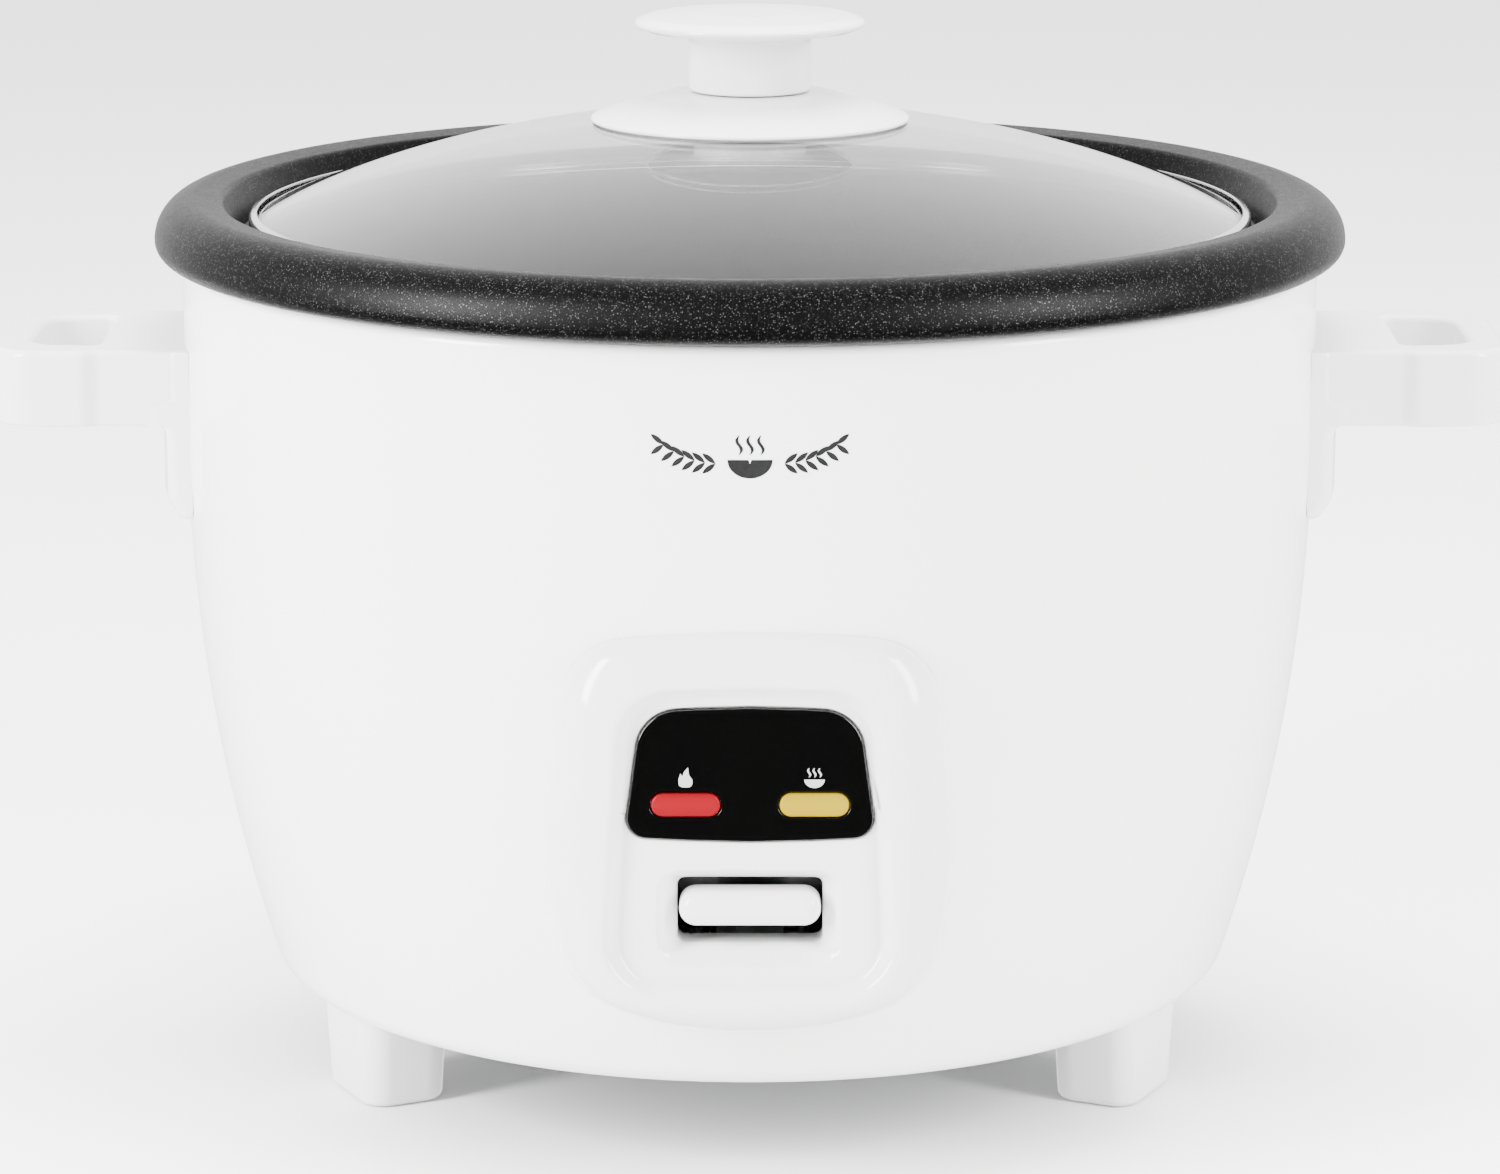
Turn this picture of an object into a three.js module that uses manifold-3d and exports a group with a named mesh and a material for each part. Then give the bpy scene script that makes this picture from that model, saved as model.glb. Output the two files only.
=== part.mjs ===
// A lift-off-pot rice cooker: painted shell on four feet, non-stick pot with a flared rim, glass lid,
// front panel with two lamps and a cook lever, and the heater, sensor and switch parts inside.
// Millimetres. The origin is on the table under the middle of the pot, +Z is up, the front faces -Y.
import * as THREE from 'three';
import { mergeVertices } from 'three/addons/utils/BufferGeometryUtils.js';
import Module from 'manifold-3d';

const wasm = await Module();
wasm.setup();

// ---- clearances and facet counts
const GAP = 0.3;                  // between pieces that touch
const SLIDE_GAP = 0.5;            // round pieces that slide in each other
const ROUND = 36;                 // facets round the large turned pieces
const SMALL_ROUND = 20;           // facets round the small turned pieces
const SCREW_ROUND = 10;

// ---- shell and base
const BODY_RADIUS = 126.4;        // straight upper part of the shell
const BODY_HEIGHT = 184;          // top of the shell
const FOOT_HEIGHT = 21.8;         // underside of the shell
const SHELL_WALL = 1;
const SHOULDER_DROP = 34;         // where the taper starts, below the top of the shell
const BASE_TAPER = 17.9;          // how much the radius shrinks down to the base corner
const TAPER_POWER = 2.2;
const BASE_CORNER = 7;
const BASE_LEAN = THREE.MathUtils.degToRad(17.8);
const BASE_FLANGE = 8;            // width of the turned-in flange at the bottom
const TOP_CORNER = 2;
const TOP_FLANGE = 5;             // width of the turned-in flange at the top
const BASE_PLATE_THICKNESS = 1.6;
const VENT_LENGTH = 20;
const VENT_WIDTH = 3.2;
const VENT_RADIUS = 52;           // middle of the vent slots
const VENT_COUNT = 10;
const FOOT_ANGLE = 26;            // degrees from the side axis
const FOOT_DEPTH = 21;            // along the radius
const FOOT_WIDTH = 29;            // across it
const FOOT_CORNER = 6;
const FOOT_DRAFT = 0.9;           // size at the table over size at the top
const FOOT_INSET = 0.8;           // back from the start of the base corner
const FOOT_BOSS_RADIUS = 5;
const SCREW_SHANK = 1.7;
const SCREW_HEAD = 3.6;
const SCREW_HEAD_HEIGHT = 2.4;
const SCREW_HOLE_PLAY = 0.4;
const FOOT_SCREW_RECESS = 12;     // depth of the counterbore in a foot

// ---- pot, liner and lid
const POT_FLOOR_Z = 80;           // underside of the pot
const POT_WALL = 1.5;
const POT_CORNER = 25;
const RIM_OVERHANG = 6.1;         // widest part of the rim outside the shell
const RIM_RISE = 13.3;            // crest of the rim above the shell
const RIM_LIP_GAP = 0.7;          // lip of the rim above the shell
const LEDGE_DEPTH = 9.2;          // lid seat below the crest
const LINER_WALL = 0.8;
const LINER_TO_SHELL = 12.6;      // air gap that keeps the shell cool
const POT_TO_LINER = 3.4;
const LINER_CORNER = 30;
const LINER_FLANGE_WIDTH = 11;
const DOME_FLATNESS = 2.2152;     // radius of the dome's upper face, over the body's
const GLASS_THICKNESS = 3;
const BAND_PLAY = 2;              // between the lid's band and the wall of its seat
const BAND_WALL = 0.6;
const BAND_LIP = 3;
const KNOB_RADIUS = 25.6;
const KNOB_THICKNESS = 6;
const KNOB_STEM_RADIUS = 13.66;
const KNOB_STEM_HEIGHT = 11.3;
const SKIRT_RADIUS = 35.4;
const SKIRT_CROWN = 4.1;          // thickness of the skirt at the stem
const WASHER_RADIUS = 8;
const WASHER_THICKNESS = 1;
const VENT_EYELET_RADIUS = 62;    // eyelet's distance from the knob
const EYELET_FLANGE = 4.2;
const EYELET_SLEEVE = 2.6;
const EYELET_HOLE = 1.5;

// ---- heater and sensor
const PLATE_THICKNESS = 12;
const PLATE_INSET = 3.6;          // heating plate inside the flat floor of the pot
const ELEMENT_RING = 58;
const ELEMENT_TUBE = 4.2;
const ELEMENT_GROOVE_PLAY = 1;
const ELEMENT_OPEN = 26;          // degrees each side of the rear that the element leaves open
const ELEMENT_TAIL = 9;
const PLATE_TO_LINER = 10.7;      // height of the stand-offs
const STANDOFF_RADIUS = 4;
const STANDOFF_INSET = 5.5;       // stand-off's middle inside the end of the liner's flat floor
const LINER_LEDGE = 16;           // width of the flat floor that carries the stand-offs
const CAP_RADIUS = 18.5;
const CAP_WALL = 0.8;
const CAP_HEIGHT = 18;
const CAP_HOLE_PLAY = 2;
const GUIDE_WALL = 1;
const GUIDE_FLANGE = 10;
const GUIDE_DEPTH = 17.4;
const GUIDE_HOLE = 8;
const FERRITE_RADIUS = 12;
const FERRITE_THICKNESS = 5.2;
const MAGNET_RADIUS = 11;
const MAGNET_THICKNESS = 6;
const MAGNET_AIR_GAP = 0.4;       // left when the lever is fully down
const ROD_RADIUS = 3;
const SPRING_WIRE = 0.9;
const SPRING_TURNS = 5;
const SPRING_SIDE_PLAY = 1.2;     // between the sensor spring and the cap

// ---- front panel
const BEZEL_PROUD = 3.1;          // front ring of the bezel outside the shell's upper part
const BEZEL_HALF_WIDTH = 42.4;
const BEZEL_TOP = 128.2;
const BEZEL_WAIST = 73;           // height of its widest place
const BEZEL_BOTTOM = 36.7;
const BEZEL_FLANK = 12.4;         // width of the rounded flank
const BEZEL_ROLL = 12;            // depth of the rounded flank
const BEZEL_WALL = 2.4;
const FIELD_INSET = 3.6;          // ring's width
const FIELD_DEPTH = 3;            // sunk field behind the ring
const PANEL_HALF_WIDTH = 24.9;
const PANEL_TOP = 109.5;
const PANEL_BOTTOM = 81;
const PANEL_THICKNESS = 1.6;
const PANEL_PROUD = 0.8;          // panel in front of the sunk field
const LENS_LENGTH = 14.2;
const LENS_HEIGHT = 4.9;
const LENS_X = 13.2;
const LENS_Z = 89;
const LENS_PROUD = 0.4;
const LENS_DEPTH = 4.6;
const SLOT_HALF_WIDTH = 15;
const SLOT_TOP = 72.2;
const SLOT_BOTTOM = 58.2;
const SLOT_DEPTH = 5.6;           // bevelled recess in front of the slot
const SLOT_BEVEL_SIDE = 4;
const SLOT_BEVEL_TOP = 2.8;
const SLOT_BEVEL_BOTTOM = 4.2;
const SLOT_FRAME_WALL = 2.2;
const SHELL_WINDOW_HALF = 27;
const SHELL_WINDOW_BOTTOM = 52;
const SHELL_WINDOW_TOP = 104;

// ---- cook lever and its switch
const BUTTON_HALF_WIDTH = 14.6;
const BUTTON_HEIGHT = 7.4;
const BUTTON_DEPTH = 7.6;
const BUTTON_PROUD = 1.4;         // button in front of the sunk field
const BUTTON_Z = 66.6;
const BUTTON_CORNER = 3.5;
const ARM_WIDTH = 14;
const ARM_THICKNESS = 1.6;
const ARM_INTO_BUTTON = 4;
const PIVOT_BACK = 54.5;          // pivot behind the front ring
const PIVOT_Z = 46;
const PIVOT_BOSS = 4.5;
const PIN_RADIUS = 1.5;
const PIN_PLAY = 0.3;
const ARM_STEP_BACK = 18;         // where the arm turns down, behind the front ring
const ARM_STEP_LENGTH = 9;
const ARM_TAIL_Z = 40;
const ARM_TAIL_PAST = 8;          // arm's end beyond the middle of the cooker
const LEVER_TRAVEL = THREE.MathUtils.degToRad(5.5);
const CHEEK_X = 10.4;             // inner faces of the bracket's cheeks
const BRACKET_WALL = 1.2;
const BRACKET_LENGTH = 18;
const BRACKET_ABOVE_PIN = 6;
const LEVER_SPRING_RADIUS = 3.6;
const LEVER_SPRING_WIRE = 0.35;
const LEVER_SPRING_TURNS = 2.5;
const SWITCH_WIDTH = 6.4;
const SWITCH_LENGTH = 20;
const SWITCH_HEIGHT = 10;
const SWITCH_BEHIND_PIVOT = 22;
const PLUNGER_BEHIND_PIVOT = 28;
const PLUNGER_SIZE = 2.4;
const PLUNGER_HOLE_DEPTH = 6;
const PLUNGER_SHOWING = 5;        // plunger below the switch body

// ---- lamps
const LAMP_RADIUS = 2.4;
const LAMP_LENGTH = 11;
const HOLDER_HALF_WIDTH = 22.5;
const HOLDER_HALF_HEIGHT = 5.2;
const HOLDER_DEPTH = 7;
const HOLDER_BACK_WALL = 1.4;
const HOLDER_TO_LINER = 1;

// ---- handles
const HANDLE_REACH = 168;
const HANDLE_DROP = 18.5;         // top of a handle below the top of the shell
const HANDLE_HEIGHT = 17;
const HANDLE_HALF_DEPTH = 27;     // stem
const NOSE_HALF_DEPTH = 28.6;
const NOSE_LENGTH = 21;
const LOOP_WALL = 8;
const FINGER_HALF_DEPTH = 19;
const FINGER_LENGTH = 15.6;
const HANDLE_BEVEL = 1.4;
const HANDLE_PLATE = 5;           // pad against the shell
const HANDLE_PLATE_BELOW = 21;    // pad's reach below the underside of the handle
const HANDLE_SCREW_Y = 14;
const HANDLE_SCREW_LENGTH = 12;

// ---- power inlet and small electrical pieces
const INLET_HALF_WIDTH = 17;
const INLET_HALF_HEIGHT = 12;
const INLET_Z = 42;
const INLET_PROUD = 4.5;          // outside the shell at the inlet's middle
const INLET_LENGTH = 26;
const SOCKET_HALF_WIDTH = 12.5;
const SOCKET_HALF_HEIGHT = 7.5;
const SOCKET_DEPTH = 19;
const INLET_PIN_RADIUS = 2;
const INLET_PIN_X = 6.4;
const INLET_PIN_BACK = 5;         // pin behind the housing
const INLET_PIN_SHORT = 3;        // pin's end inside the mouth
const TAB_WIDTH = 6;
const TAB_THICKNESS = 0.8;
const TAB_LENGTH = 8;
const FUSE_RADIUS = 2.2;
const FUSE_LENGTH = 18;
const FUSE_Y = 42;
const THERMOSTAT_RADIUS = 8;
const THERMOSTAT_HEIGHT = 7;
const WIRE_RADIUS = 1.1;
const WIRE_END_GAP = 1;
const WIRE_CLEARANCE = 4;         // between a wire and the sensor guide

// ---- places that follow from the sizes above
const rimCrestZ = BODY_HEIGHT + RIM_RISE;
const ledgeZ = rimCrestZ - LEDGE_DEPTH;
const linerInside = BODY_RADIUS - SHELL_WALL - LINER_TO_SHELL - LINER_WALL;
const potOutside = linerInside - POT_TO_LINER;
const plateTopZ = POT_FLOOR_Z - GAP;
const plateUnderZ = plateTopZ - PLATE_THICKNESS;
const plateRadius = potOutside - POT_CORNER - PLATE_INSET;
const linerFloorZ = plateUnderZ - PLATE_TO_LINER;
const linerFlatRadius = linerInside - LINER_CORNER;
const linerUnderZ = linerFloorZ - LINER_WALL;
const linerHole = linerFlatRadius - LINER_LEDGE;
const seatWallRadius = linerInside + 1.6;
const bandRadius = seatWallRadius - BAND_PLAY;
const glassRadius = bandRadius - BAND_WALL - GAP;
const glassSphere = DOME_FLATNESS * BODY_RADIUS;
const bandBottomZ = ledgeZ + GAP;
const glassEdgeUnderZ = bandBottomZ + BAND_WALL + GAP;
const capRoofZ = plateTopZ - CAP_WALL;
const ferriteUnderZ = capRoofZ - GAP - FERRITE_THICKNESS;
const cornerStartZ = FOOT_HEIGHT + BASE_CORNER * (1 - Math.sin(BASE_LEAN));
const shoulderZ = BODY_HEIGHT - SHOULDER_DROP;
const basePlateZ = FOOT_HEIGHT + SHELL_WALL + GAP;
const bezelFrontY = -(BODY_RADIUS + BEZEL_PROUD);
const fieldY = bezelFrontY + FIELD_DEPTH;
const pivotY = bezelFrontY + PIVOT_BACK;
const guideOutside = CAP_RADIUS + SLIDE_GAP + GUIDE_WALL;
const sensorSpringRadius = CAP_RADIUS - CAP_WALL - SPRING_WIRE - SPRING_SIDE_PLAY;
const magnetLift = -pivotY * Math.sin(LEVER_TRAVEL) - (PIVOT_Z - ARM_TAIL_Z) * (1 - Math.cos(LEVER_TRAVEL));
const handleTopZ = BODY_HEIGHT - HANDLE_DROP;
const handleUnderZ = handleTopZ - HANDLE_HEIGHT;

// ---- finishes
const finish = (color, roughness, metalness = 0) =>
  new THREE.MeshStandardMaterial({ color, roughness, metalness });
const WHITE_PAINT = finish(0xf4f4f2, 0.25);
const WHITE_PLASTIC = finish(0xf1f1ef, 0.3);
const NON_STICK = finish(0x1b1b1d, 0.45, 0.3);
const ALUMINIUM = finish(0xb9bbbd, 0.45, 1);
const STEEL = finish(0xc8cacc, 0.3, 1);
const ZINC_STEEL = finish(0xa9aba8, 0.4, 1);
const BLACK_GLOSS = finish(0x080808, 0.08);
const BLACK_PLASTIC = finish(0x1c1c1c, 0.5);
const RED_LENS = finish(0xd73e4b, 0.25);
const YELLOW_LENS = finish(0xe4d24b, 0.25);
const LAMP_GLASS = finish(0xe8ddd0, 0.1);
const BRASS = finish(0xb8924a, 0.35, 1);
const CERAMIC = finish(0xe6e0d4, 0.7);
const RUBBER = finish(0xdedcd8, 0.8);
const FERRITE_GREY = finish(0x3a3a3c, 0.6);
const WIRE_RED = finish(0xa8322e, 0.6);
const WIRE_WHITE = finish(0xe4e4e0, 0.6);
const GLASS = new THREE.MeshStandardMaterial({
  color: 0xdfe4e4, roughness: 0.05, metalness: 0, transparent: true, opacity: 0.35,
});

// ---- closed meshes
// Merges the corners that faces share, drops faces that close up, and turns the faces outwards.
function closed(geometry) {
  const bare = geometry.index ? geometry.toNonIndexed() : geometry;
  bare.deleteAttribute('normal');
  bare.deleteAttribute('uv');
  const merged = mergeVertices(bare, 1e-3);
  const corner = merged.index.array;
  const kept = [];
  for (let i = 0; i < corner.length; i += 3) {
    const [a, b, c] = [corner[i], corner[i + 1], corner[i + 2]];
    if (a !== b && b !== c && c !== a) kept.push(a, b, c);
  }
  merged.setIndex(kept);
  if (signedVolume(merged) < 0) {
    for (let i = 0; i < kept.length; i += 3) [kept[i], kept[i + 1]] = [kept[i + 1], kept[i]];
    merged.setIndex(kept);
  }
  return merged;
}

function signedVolume(geometry) {
  const at = geometry.getAttribute('position');
  const corner = geometry.index.array;
  const [a, b, c] = [new THREE.Vector3(), new THREE.Vector3(), new THREE.Vector3()];
  let volume = 0;
  for (let i = 0; i < corner.length; i += 3) {
    a.fromBufferAttribute(at, corner[i]);
    b.fromBufferAttribute(at, corner[i + 1]);
    c.fromBufferAttribute(at, corner[i + 2]);
    volume += a.dot(b.cross(c)) / 6;
  }
  return volume;
}

function toSolid(geometry) {
  const mesh = closed(geometry);
  return new wasm.Manifold(new wasm.Mesh({
    numProp: 3,
    vertProperties: new Float32Array(mesh.getAttribute('position').array),
    triVerts: new Uint32Array(mesh.index.array),
  }));
}

function toGeometry(solid) {
  const mesh = solid.getMesh();
  const geometry = new THREE.BufferGeometry();
  geometry.setAttribute('position', new THREE.BufferAttribute(new Float32Array(mesh.vertProperties), 3));
  geometry.setIndex(new THREE.BufferAttribute(new Uint32Array(mesh.triVerts), 1));
  return geometry;
}

function cut(geometry, ...tools) {
  let solid = toSolid(geometry);
  for (const tool of tools) solid = solid.subtract(toSolid(tool));
  return toGeometry(solid);
}

function join(...geometries) {
  const [first, ...others] = geometries.map(toSolid);
  return toGeometry(others.reduce((sum, other) => sum.add(other), first));
}

function common(geometry, other) {
  return toGeometry(toSolid(geometry).intersect(toSolid(other)));
}

// ---- basic shapes
const arc = (r, z, radius, from, to, steps) =>
  Array.from({ length: steps + 1 }, (_, i) => {
    const angle = THREE.MathUtils.degToRad(from + ((to - from) * i) / steps);
    return [r + radius * Math.cos(angle), z + radius * Math.sin(angle)];
  });

// A profile of [radius, height] points turned round the Z axis.
const turned = (profile, facets = SMALL_ROUND) => {
  const points = profile.map(([r, z]) => new THREE.Vector2(r, z));
  return closed(new THREE.LatheGeometry(points, facets).rotateX(Math.PI / 2));
};

const ring = (inner, outer, low, high, facets) =>
  turned([[inner, low], [outer, low], [outer, high], [inner, high], [inner, low]], facets);

const rod = (radius, low, high, facets) =>
  turned([[0, low], [radius, low], [radius, high], [0, high]], facets);

const alongX = (geometry) => geometry.rotateY(Math.PI / 2);
const alongY = (geometry) => geometry.rotateX(-Math.PI / 2);

const block = ([x0, x1], [y0, y1], [z0, z1]) =>
  new THREE.BoxGeometry(x1 - x0, y1 - y0, z1 - z0)
    .translate((x0 + x1) / 2, (y0 + y1) / 2, (z0 + z1) / 2);

const outline = (points) => new THREE.Shape(points.map(([x, y]) => new THREE.Vector2(x, y)));

function roundedRectangle(x0, x1, y0, y1, radius) {
  const shape = new THREE.Shape();
  shape.absarc(x1 - radius, y0 + radius, radius, -Math.PI / 2, 0);
  shape.absarc(x1 - radius, y1 - radius, radius, 0, Math.PI / 2);
  shape.absarc(x0 + radius, y1 - radius, radius, Math.PI / 2, Math.PI);
  shape.absarc(x0 + radius, y0 + radius, radius, Math.PI, 1.5 * Math.PI);
  return shape;
}

// A shape in plan, from one height to another.
const upright = (shape, low, high, curveSegments = 4) =>
  new THREE.ExtrudeGeometry(shape, { depth: high - low, bevelEnabled: false, curveSegments })
    .translate(0, 0, low);

// A shape seen from the front, from a front depth back to a rear depth.
const facing = (shape, frontY, backY, curveSegments = 4) =>
  new THREE.ExtrudeGeometry(shape, { depth: backY - frontY, bevelEnabled: false, curveSegments })
    .rotateX(Math.PI / 2)
    .translate(0, backY, 0);

// A shape seen from the side, drawn as (depth, height), centred across the width.
const sideways = (shape, width, middleX = 0) =>
  new THREE.ExtrudeGeometry(shape, { depth: width, bevelEnabled: false, curveSegments: 4 })
    .rotateZ(Math.PI / 2)
    .rotateY(Math.PI / 2)
    .translate(middleX - width / 2, 0, 0);

function tube(points, radius, steps, sides) {
  const curve = new THREE.CatmullRomCurve3(points.map((p) => new THREE.Vector3(...p)), false, 'centripetal');
  const corners = Array.from({ length: sides }, (_, i) => {
    const angle = (2 * Math.PI * i) / sides;
    return [radius * Math.cos(angle), radius * Math.sin(angle)];
  });
  const along = { steps, extrudePath: curve, bevelEnabled: false };
  return closed(new THREE.ExtrudeGeometry(outline(corners), along));
}

// Points of a coil round Z, then the same coil can be turned to any axis.
function coil(radius, low, high, turns, perTurn) {
  const count = Math.round(turns * perTurn);
  return Array.from({ length: count + 1 }, (_, i) => {
    const angle = (2 * Math.PI * i) / perTurn;
    return [radius * Math.cos(angle), radius * Math.sin(angle), low + ((high - low) * i) / count];
  });
}

// ---- the assembly
const cooker = new THREE.Group();

function add(name, geometry, material, place = [0, 0, 0], parent = cooker) {
  const mesh = new THREE.Mesh(closed(geometry), material);
  mesh.name = name;
  mesh.position.set(...place);
  parent.add(mesh);
  return mesh;
}

// ---- shell
function shellRadiusAt(z) {
  const down = Math.max(0, (shoulderZ - z) / (shoulderZ - cornerStartZ));
  return BODY_RADIUS - BASE_TAPER * down ** TAPER_POWER;
}

const cornerCentreRadius = shellRadiusAt(cornerStartZ) - BASE_CORNER * Math.cos(BASE_LEAN);
const leanDegrees = THREE.MathUtils.radToDeg(BASE_LEAN);

function shellSide(inset, facets) {
  const baseCornerZ = FOOT_HEIGHT + BASE_CORNER;
  const points = arc(cornerCentreRadius, baseCornerZ, BASE_CORNER - inset, -90, -leanDegrees, 2);
  for (let i = 1; i <= facets; i += 1) {
    const z = cornerStartZ + ((shoulderZ - cornerStartZ) * i) / facets;
    points.push([shellRadiusAt(z) - inset, z]);
  }
  const corner = TOP_CORNER - inset;
  points.push(...arc(BODY_RADIUS - TOP_CORNER, BODY_HEIGHT - TOP_CORNER, corner, 0, 90, 1));
  return points;
}

const SIDE_FACETS = 5;

// The shell's outside as a full solid, a gap larger, for cutting what is fitted against it.
function shellFiller() {
  const side = shellSide(-GAP, SIDE_FACETS);
  return turned([[0, side[0][1]], ...side, [0, side.at(-1)[1]]], ROUND);
}

function outerShell() {
  const flangeInner = cornerCentreRadius - BASE_FLANGE;
  const topInner = BODY_RADIUS - TOP_CORNER - TOP_FLANGE;
  const outside = shellSide(0, SIDE_FACETS);
  const inside = shellSide(SHELL_WALL, SIDE_FACETS).reverse();
  const start = [flangeInner, FOOT_HEIGHT];
  const wall = turned([
    start, ...outside, [topInner, BODY_HEIGHT], [topInner, BODY_HEIGHT - SHELL_WALL],
    ...inside, [flangeInner, FOOT_HEIGHT + SHELL_WALL], start,
  ], ROUND);
  const window = block(
    [-SHELL_WINDOW_HALF, SHELL_WINDOW_HALF], [-BODY_RADIUS - 5, -linerInside],
    [SHELL_WINDOW_BOTTOM, SHELL_WINDOW_TOP]);
  const inlet = facing(inletOutline(GAP), linerInside - 20, BODY_RADIUS + 5);
  const screwHoles = handleScrewPlaces().map(([x, y, z]) =>
    alongX(rod(SCREW_SHANK + SCREW_HOLE_PLAY, -15, 15, SCREW_ROUND)).translate(x, y, z));
  return cut(wall, window, inlet, ...screwHoles);
}

// ---- base plate and feet
const footReach = cornerCentreRadius - FOOT_INSET;
const footMiddle = footReach - FOOT_DEPTH / 2;
const footScrewRadius = cornerCentreRadius - BASE_FLANGE - SLIDE_GAP - FOOT_BOSS_RADIUS;

function footPlaces() {
  const places = [];
  const fromSide = THREE.MathUtils.degToRad(FOOT_ANGLE);
  for (const [side, sideSign] of [['left', -1], ['right', 1]]) {
    for (const [end, endSign] of [['front', -1], ['rear', 1]]) {
      const angle = Math.atan2(endSign * Math.sin(fromSide), sideSign * Math.cos(fromSide));
      places.push({ name: `${end}_${side}`, angle });
    }
  }
  return places;
}

function basePlate() {
  const radius = cornerCentreRadius - GAP;
  const plate = rod(radius, basePlateZ, basePlateZ + BASE_PLATE_THICKNESS, ROUND);
  const through = [basePlateZ - 1, basePlateZ + BASE_PLATE_THICKNESS + 1];
  const ventReach = [VENT_RADIUS - VENT_LENGTH / 2, VENT_RADIUS + VENT_LENGTH / 2];
  const vents = Array.from({ length: VENT_COUNT }, (_, i) =>
    block(ventReach, [-VENT_WIDTH / 2, VENT_WIDTH / 2], through)
      .rotateZ((2 * Math.PI * (i + 0.5)) / VENT_COUNT));
  const holes = footPlaces().map(({ angle }) =>
    rod(SCREW_SHANK + SCREW_HOLE_PLAY, ...through, SCREW_ROUND)
      .translate(footScrewRadius, 0, 0).rotateZ(angle));
  return cut(plate, ...vents, ...holes);
}

// A foot about its own middle: a drafted pad whose outer side follows the base.
function foot() {
  const high = FOOT_HEIGHT - GAP;
  const pad = upright(
    roundedRectangle(-FOOT_DEPTH / 2, FOOT_DEPTH / 2, -FOOT_WIDTH / 2, FOOT_WIDTH / 2, FOOT_CORNER), 0, high);
  const at = pad.getAttribute('position');
  for (let i = 0; i < at.count; i += 1) {
    const size = at.getZ(i) < high / 2 ? FOOT_DRAFT : 1;
    at.setXY(i, at.getX(i) * size, at.getY(i) * size);
  }
  const base = rod(footReach, -1, FOOT_HEIGHT, ROUND).translate(-footMiddle, 0, 0);
  const atScrew = (geometry) => geometry.translate(footScrewRadius - footMiddle, 0, 0);
  const boss = atScrew(rod(FOOT_BOSS_RADIUS, high - 2, basePlateZ - GAP, SCREW_ROUND));
  const shankHole = atScrew(rod(SCREW_SHANK + SCREW_HOLE_PLAY, -1, basePlateZ, SCREW_ROUND));
  const headHole = atScrew(rod(SCREW_HEAD + SCREW_HOLE_PLAY, -1, FOOT_SCREW_RECESS, SCREW_ROUND));
  return cut(join(common(pad, base), boss), shankHole, headHole);
}

// A screw standing on its head, with its head at the bottom.
const screw = (length) => turned([
  [0, 0], [SCREW_HEAD * 0.8, 0], [SCREW_HEAD, SCREW_HEAD_HEIGHT * 0.5], [SCREW_HEAD, SCREW_HEAD_HEIGHT],
  [SCREW_SHANK, SCREW_HEAD_HEIGHT], [SCREW_SHANK, length], [0, length],
], SCREW_ROUND);

function addBase() {
  add('outer_shell', outerShell(), WHITE_PAINT);
  add('base_plate', basePlate(), ZINC_STEEL);
  const screwLow = FOOT_SCREW_RECESS - GAP - SCREW_HEAD_HEIGHT;
  const screwLength = basePlateZ + BASE_PLATE_THICKNESS + 3 - screwLow;
  for (const { name, angle } of footPlaces()) {
    const corner = new THREE.Group();
    corner.rotation.z = angle;
    cooker.add(corner);
    add(`foot_${name}`, foot(), WHITE_PLASTIC, [footMiddle, 0, 0], corner);
    add(`foot_screw_${name}`, screw(screwLength), ZINC_STEEL, [footScrewRadius, 0, screwLow], corner);
  }
}

// ---- liner, pot and lid
function innerLiner() {
  const outside = linerInside + LINER_WALL;
  const centreZ = linerFloorZ + LINER_CORNER;
  const flangeZ = BODY_HEIGHT + GAP;
  const start = [linerHole, linerUnderZ];
  return turned([
    start,
    ...arc(linerFlatRadius, centreZ, LINER_CORNER + LINER_WALL, -90, 0, 4),
    [outside, flangeZ],
    [outside + LINER_FLANGE_WIDTH, flangeZ],
    [outside + LINER_FLANGE_WIDTH, flangeZ + LINER_WALL],
    [linerInside, flangeZ + LINER_WALL],
    ...arc(linerFlatRadius, centreZ, LINER_CORNER, 0, -90, 4),
    [linerHole, linerFloorZ],
    start,
  ], ROUND);
}

// The rim's section: a step that seats the lid, a sloping crest, and a skirt that rolls down over the shell.
function innerPot() {
  const rimRadius = BODY_RADIUS + RIM_OVERHANG;
  const lipZ = BODY_HEIGHT + RIM_LIP_GAP;
  const inside = potOutside - POT_WALL;
  const flatRadius = potOutside - POT_CORNER;
  const wideLow = lipZ + 2.6;
  const wideHigh = lipZ + 6;
  const underCrestZ = rimCrestZ - POT_WALL - 0.3;
  return turned([
    [0, POT_FLOOR_Z],
    ...arc(flatRadius, POT_FLOOR_Z + POT_CORNER, POT_CORNER, -90, 0, 4),
    [potOutside, ledgeZ - POT_WALL],
    [seatWallRadius + 1, ledgeZ - POT_WALL],
    [seatWallRadius + 5.4, underCrestZ - 2.2],
    [rimRadius - 7.4, underCrestZ],
    [rimRadius - POT_WALL, wideHigh - 0.6],
    [rimRadius - POT_WALL, wideLow + 0.6],
    [rimRadius - 3.6, lipZ + POT_WALL],
    [rimRadius - 6.2, lipZ + POT_WALL],
    [rimRadius - 6.2, lipZ],
    [rimRadius - 3.2, lipZ],
    [rimRadius, wideLow],
    [rimRadius, wideHigh],
    [rimRadius - 3.2, rimCrestZ - 2.8],
    [rimRadius - 6.6, rimCrestZ - 0.2],
    [rimRadius - 9, rimCrestZ],
    [seatWallRadius + 5.2, rimCrestZ - 1.2],
    [seatWallRadius + 3.4, rimCrestZ - 2.8],
    [seatWallRadius, ledgeZ + 0.6],
    [seatWallRadius - 0.8, ledgeZ],
    [inside, ledgeZ],
    ...arc(flatRadius, POT_FLOOR_Z + POT_CORNER, POT_CORNER - POT_WALL, 0, -90, 4),
    [0, POT_FLOOR_Z + POT_WALL],
  ], ROUND);
}

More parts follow.
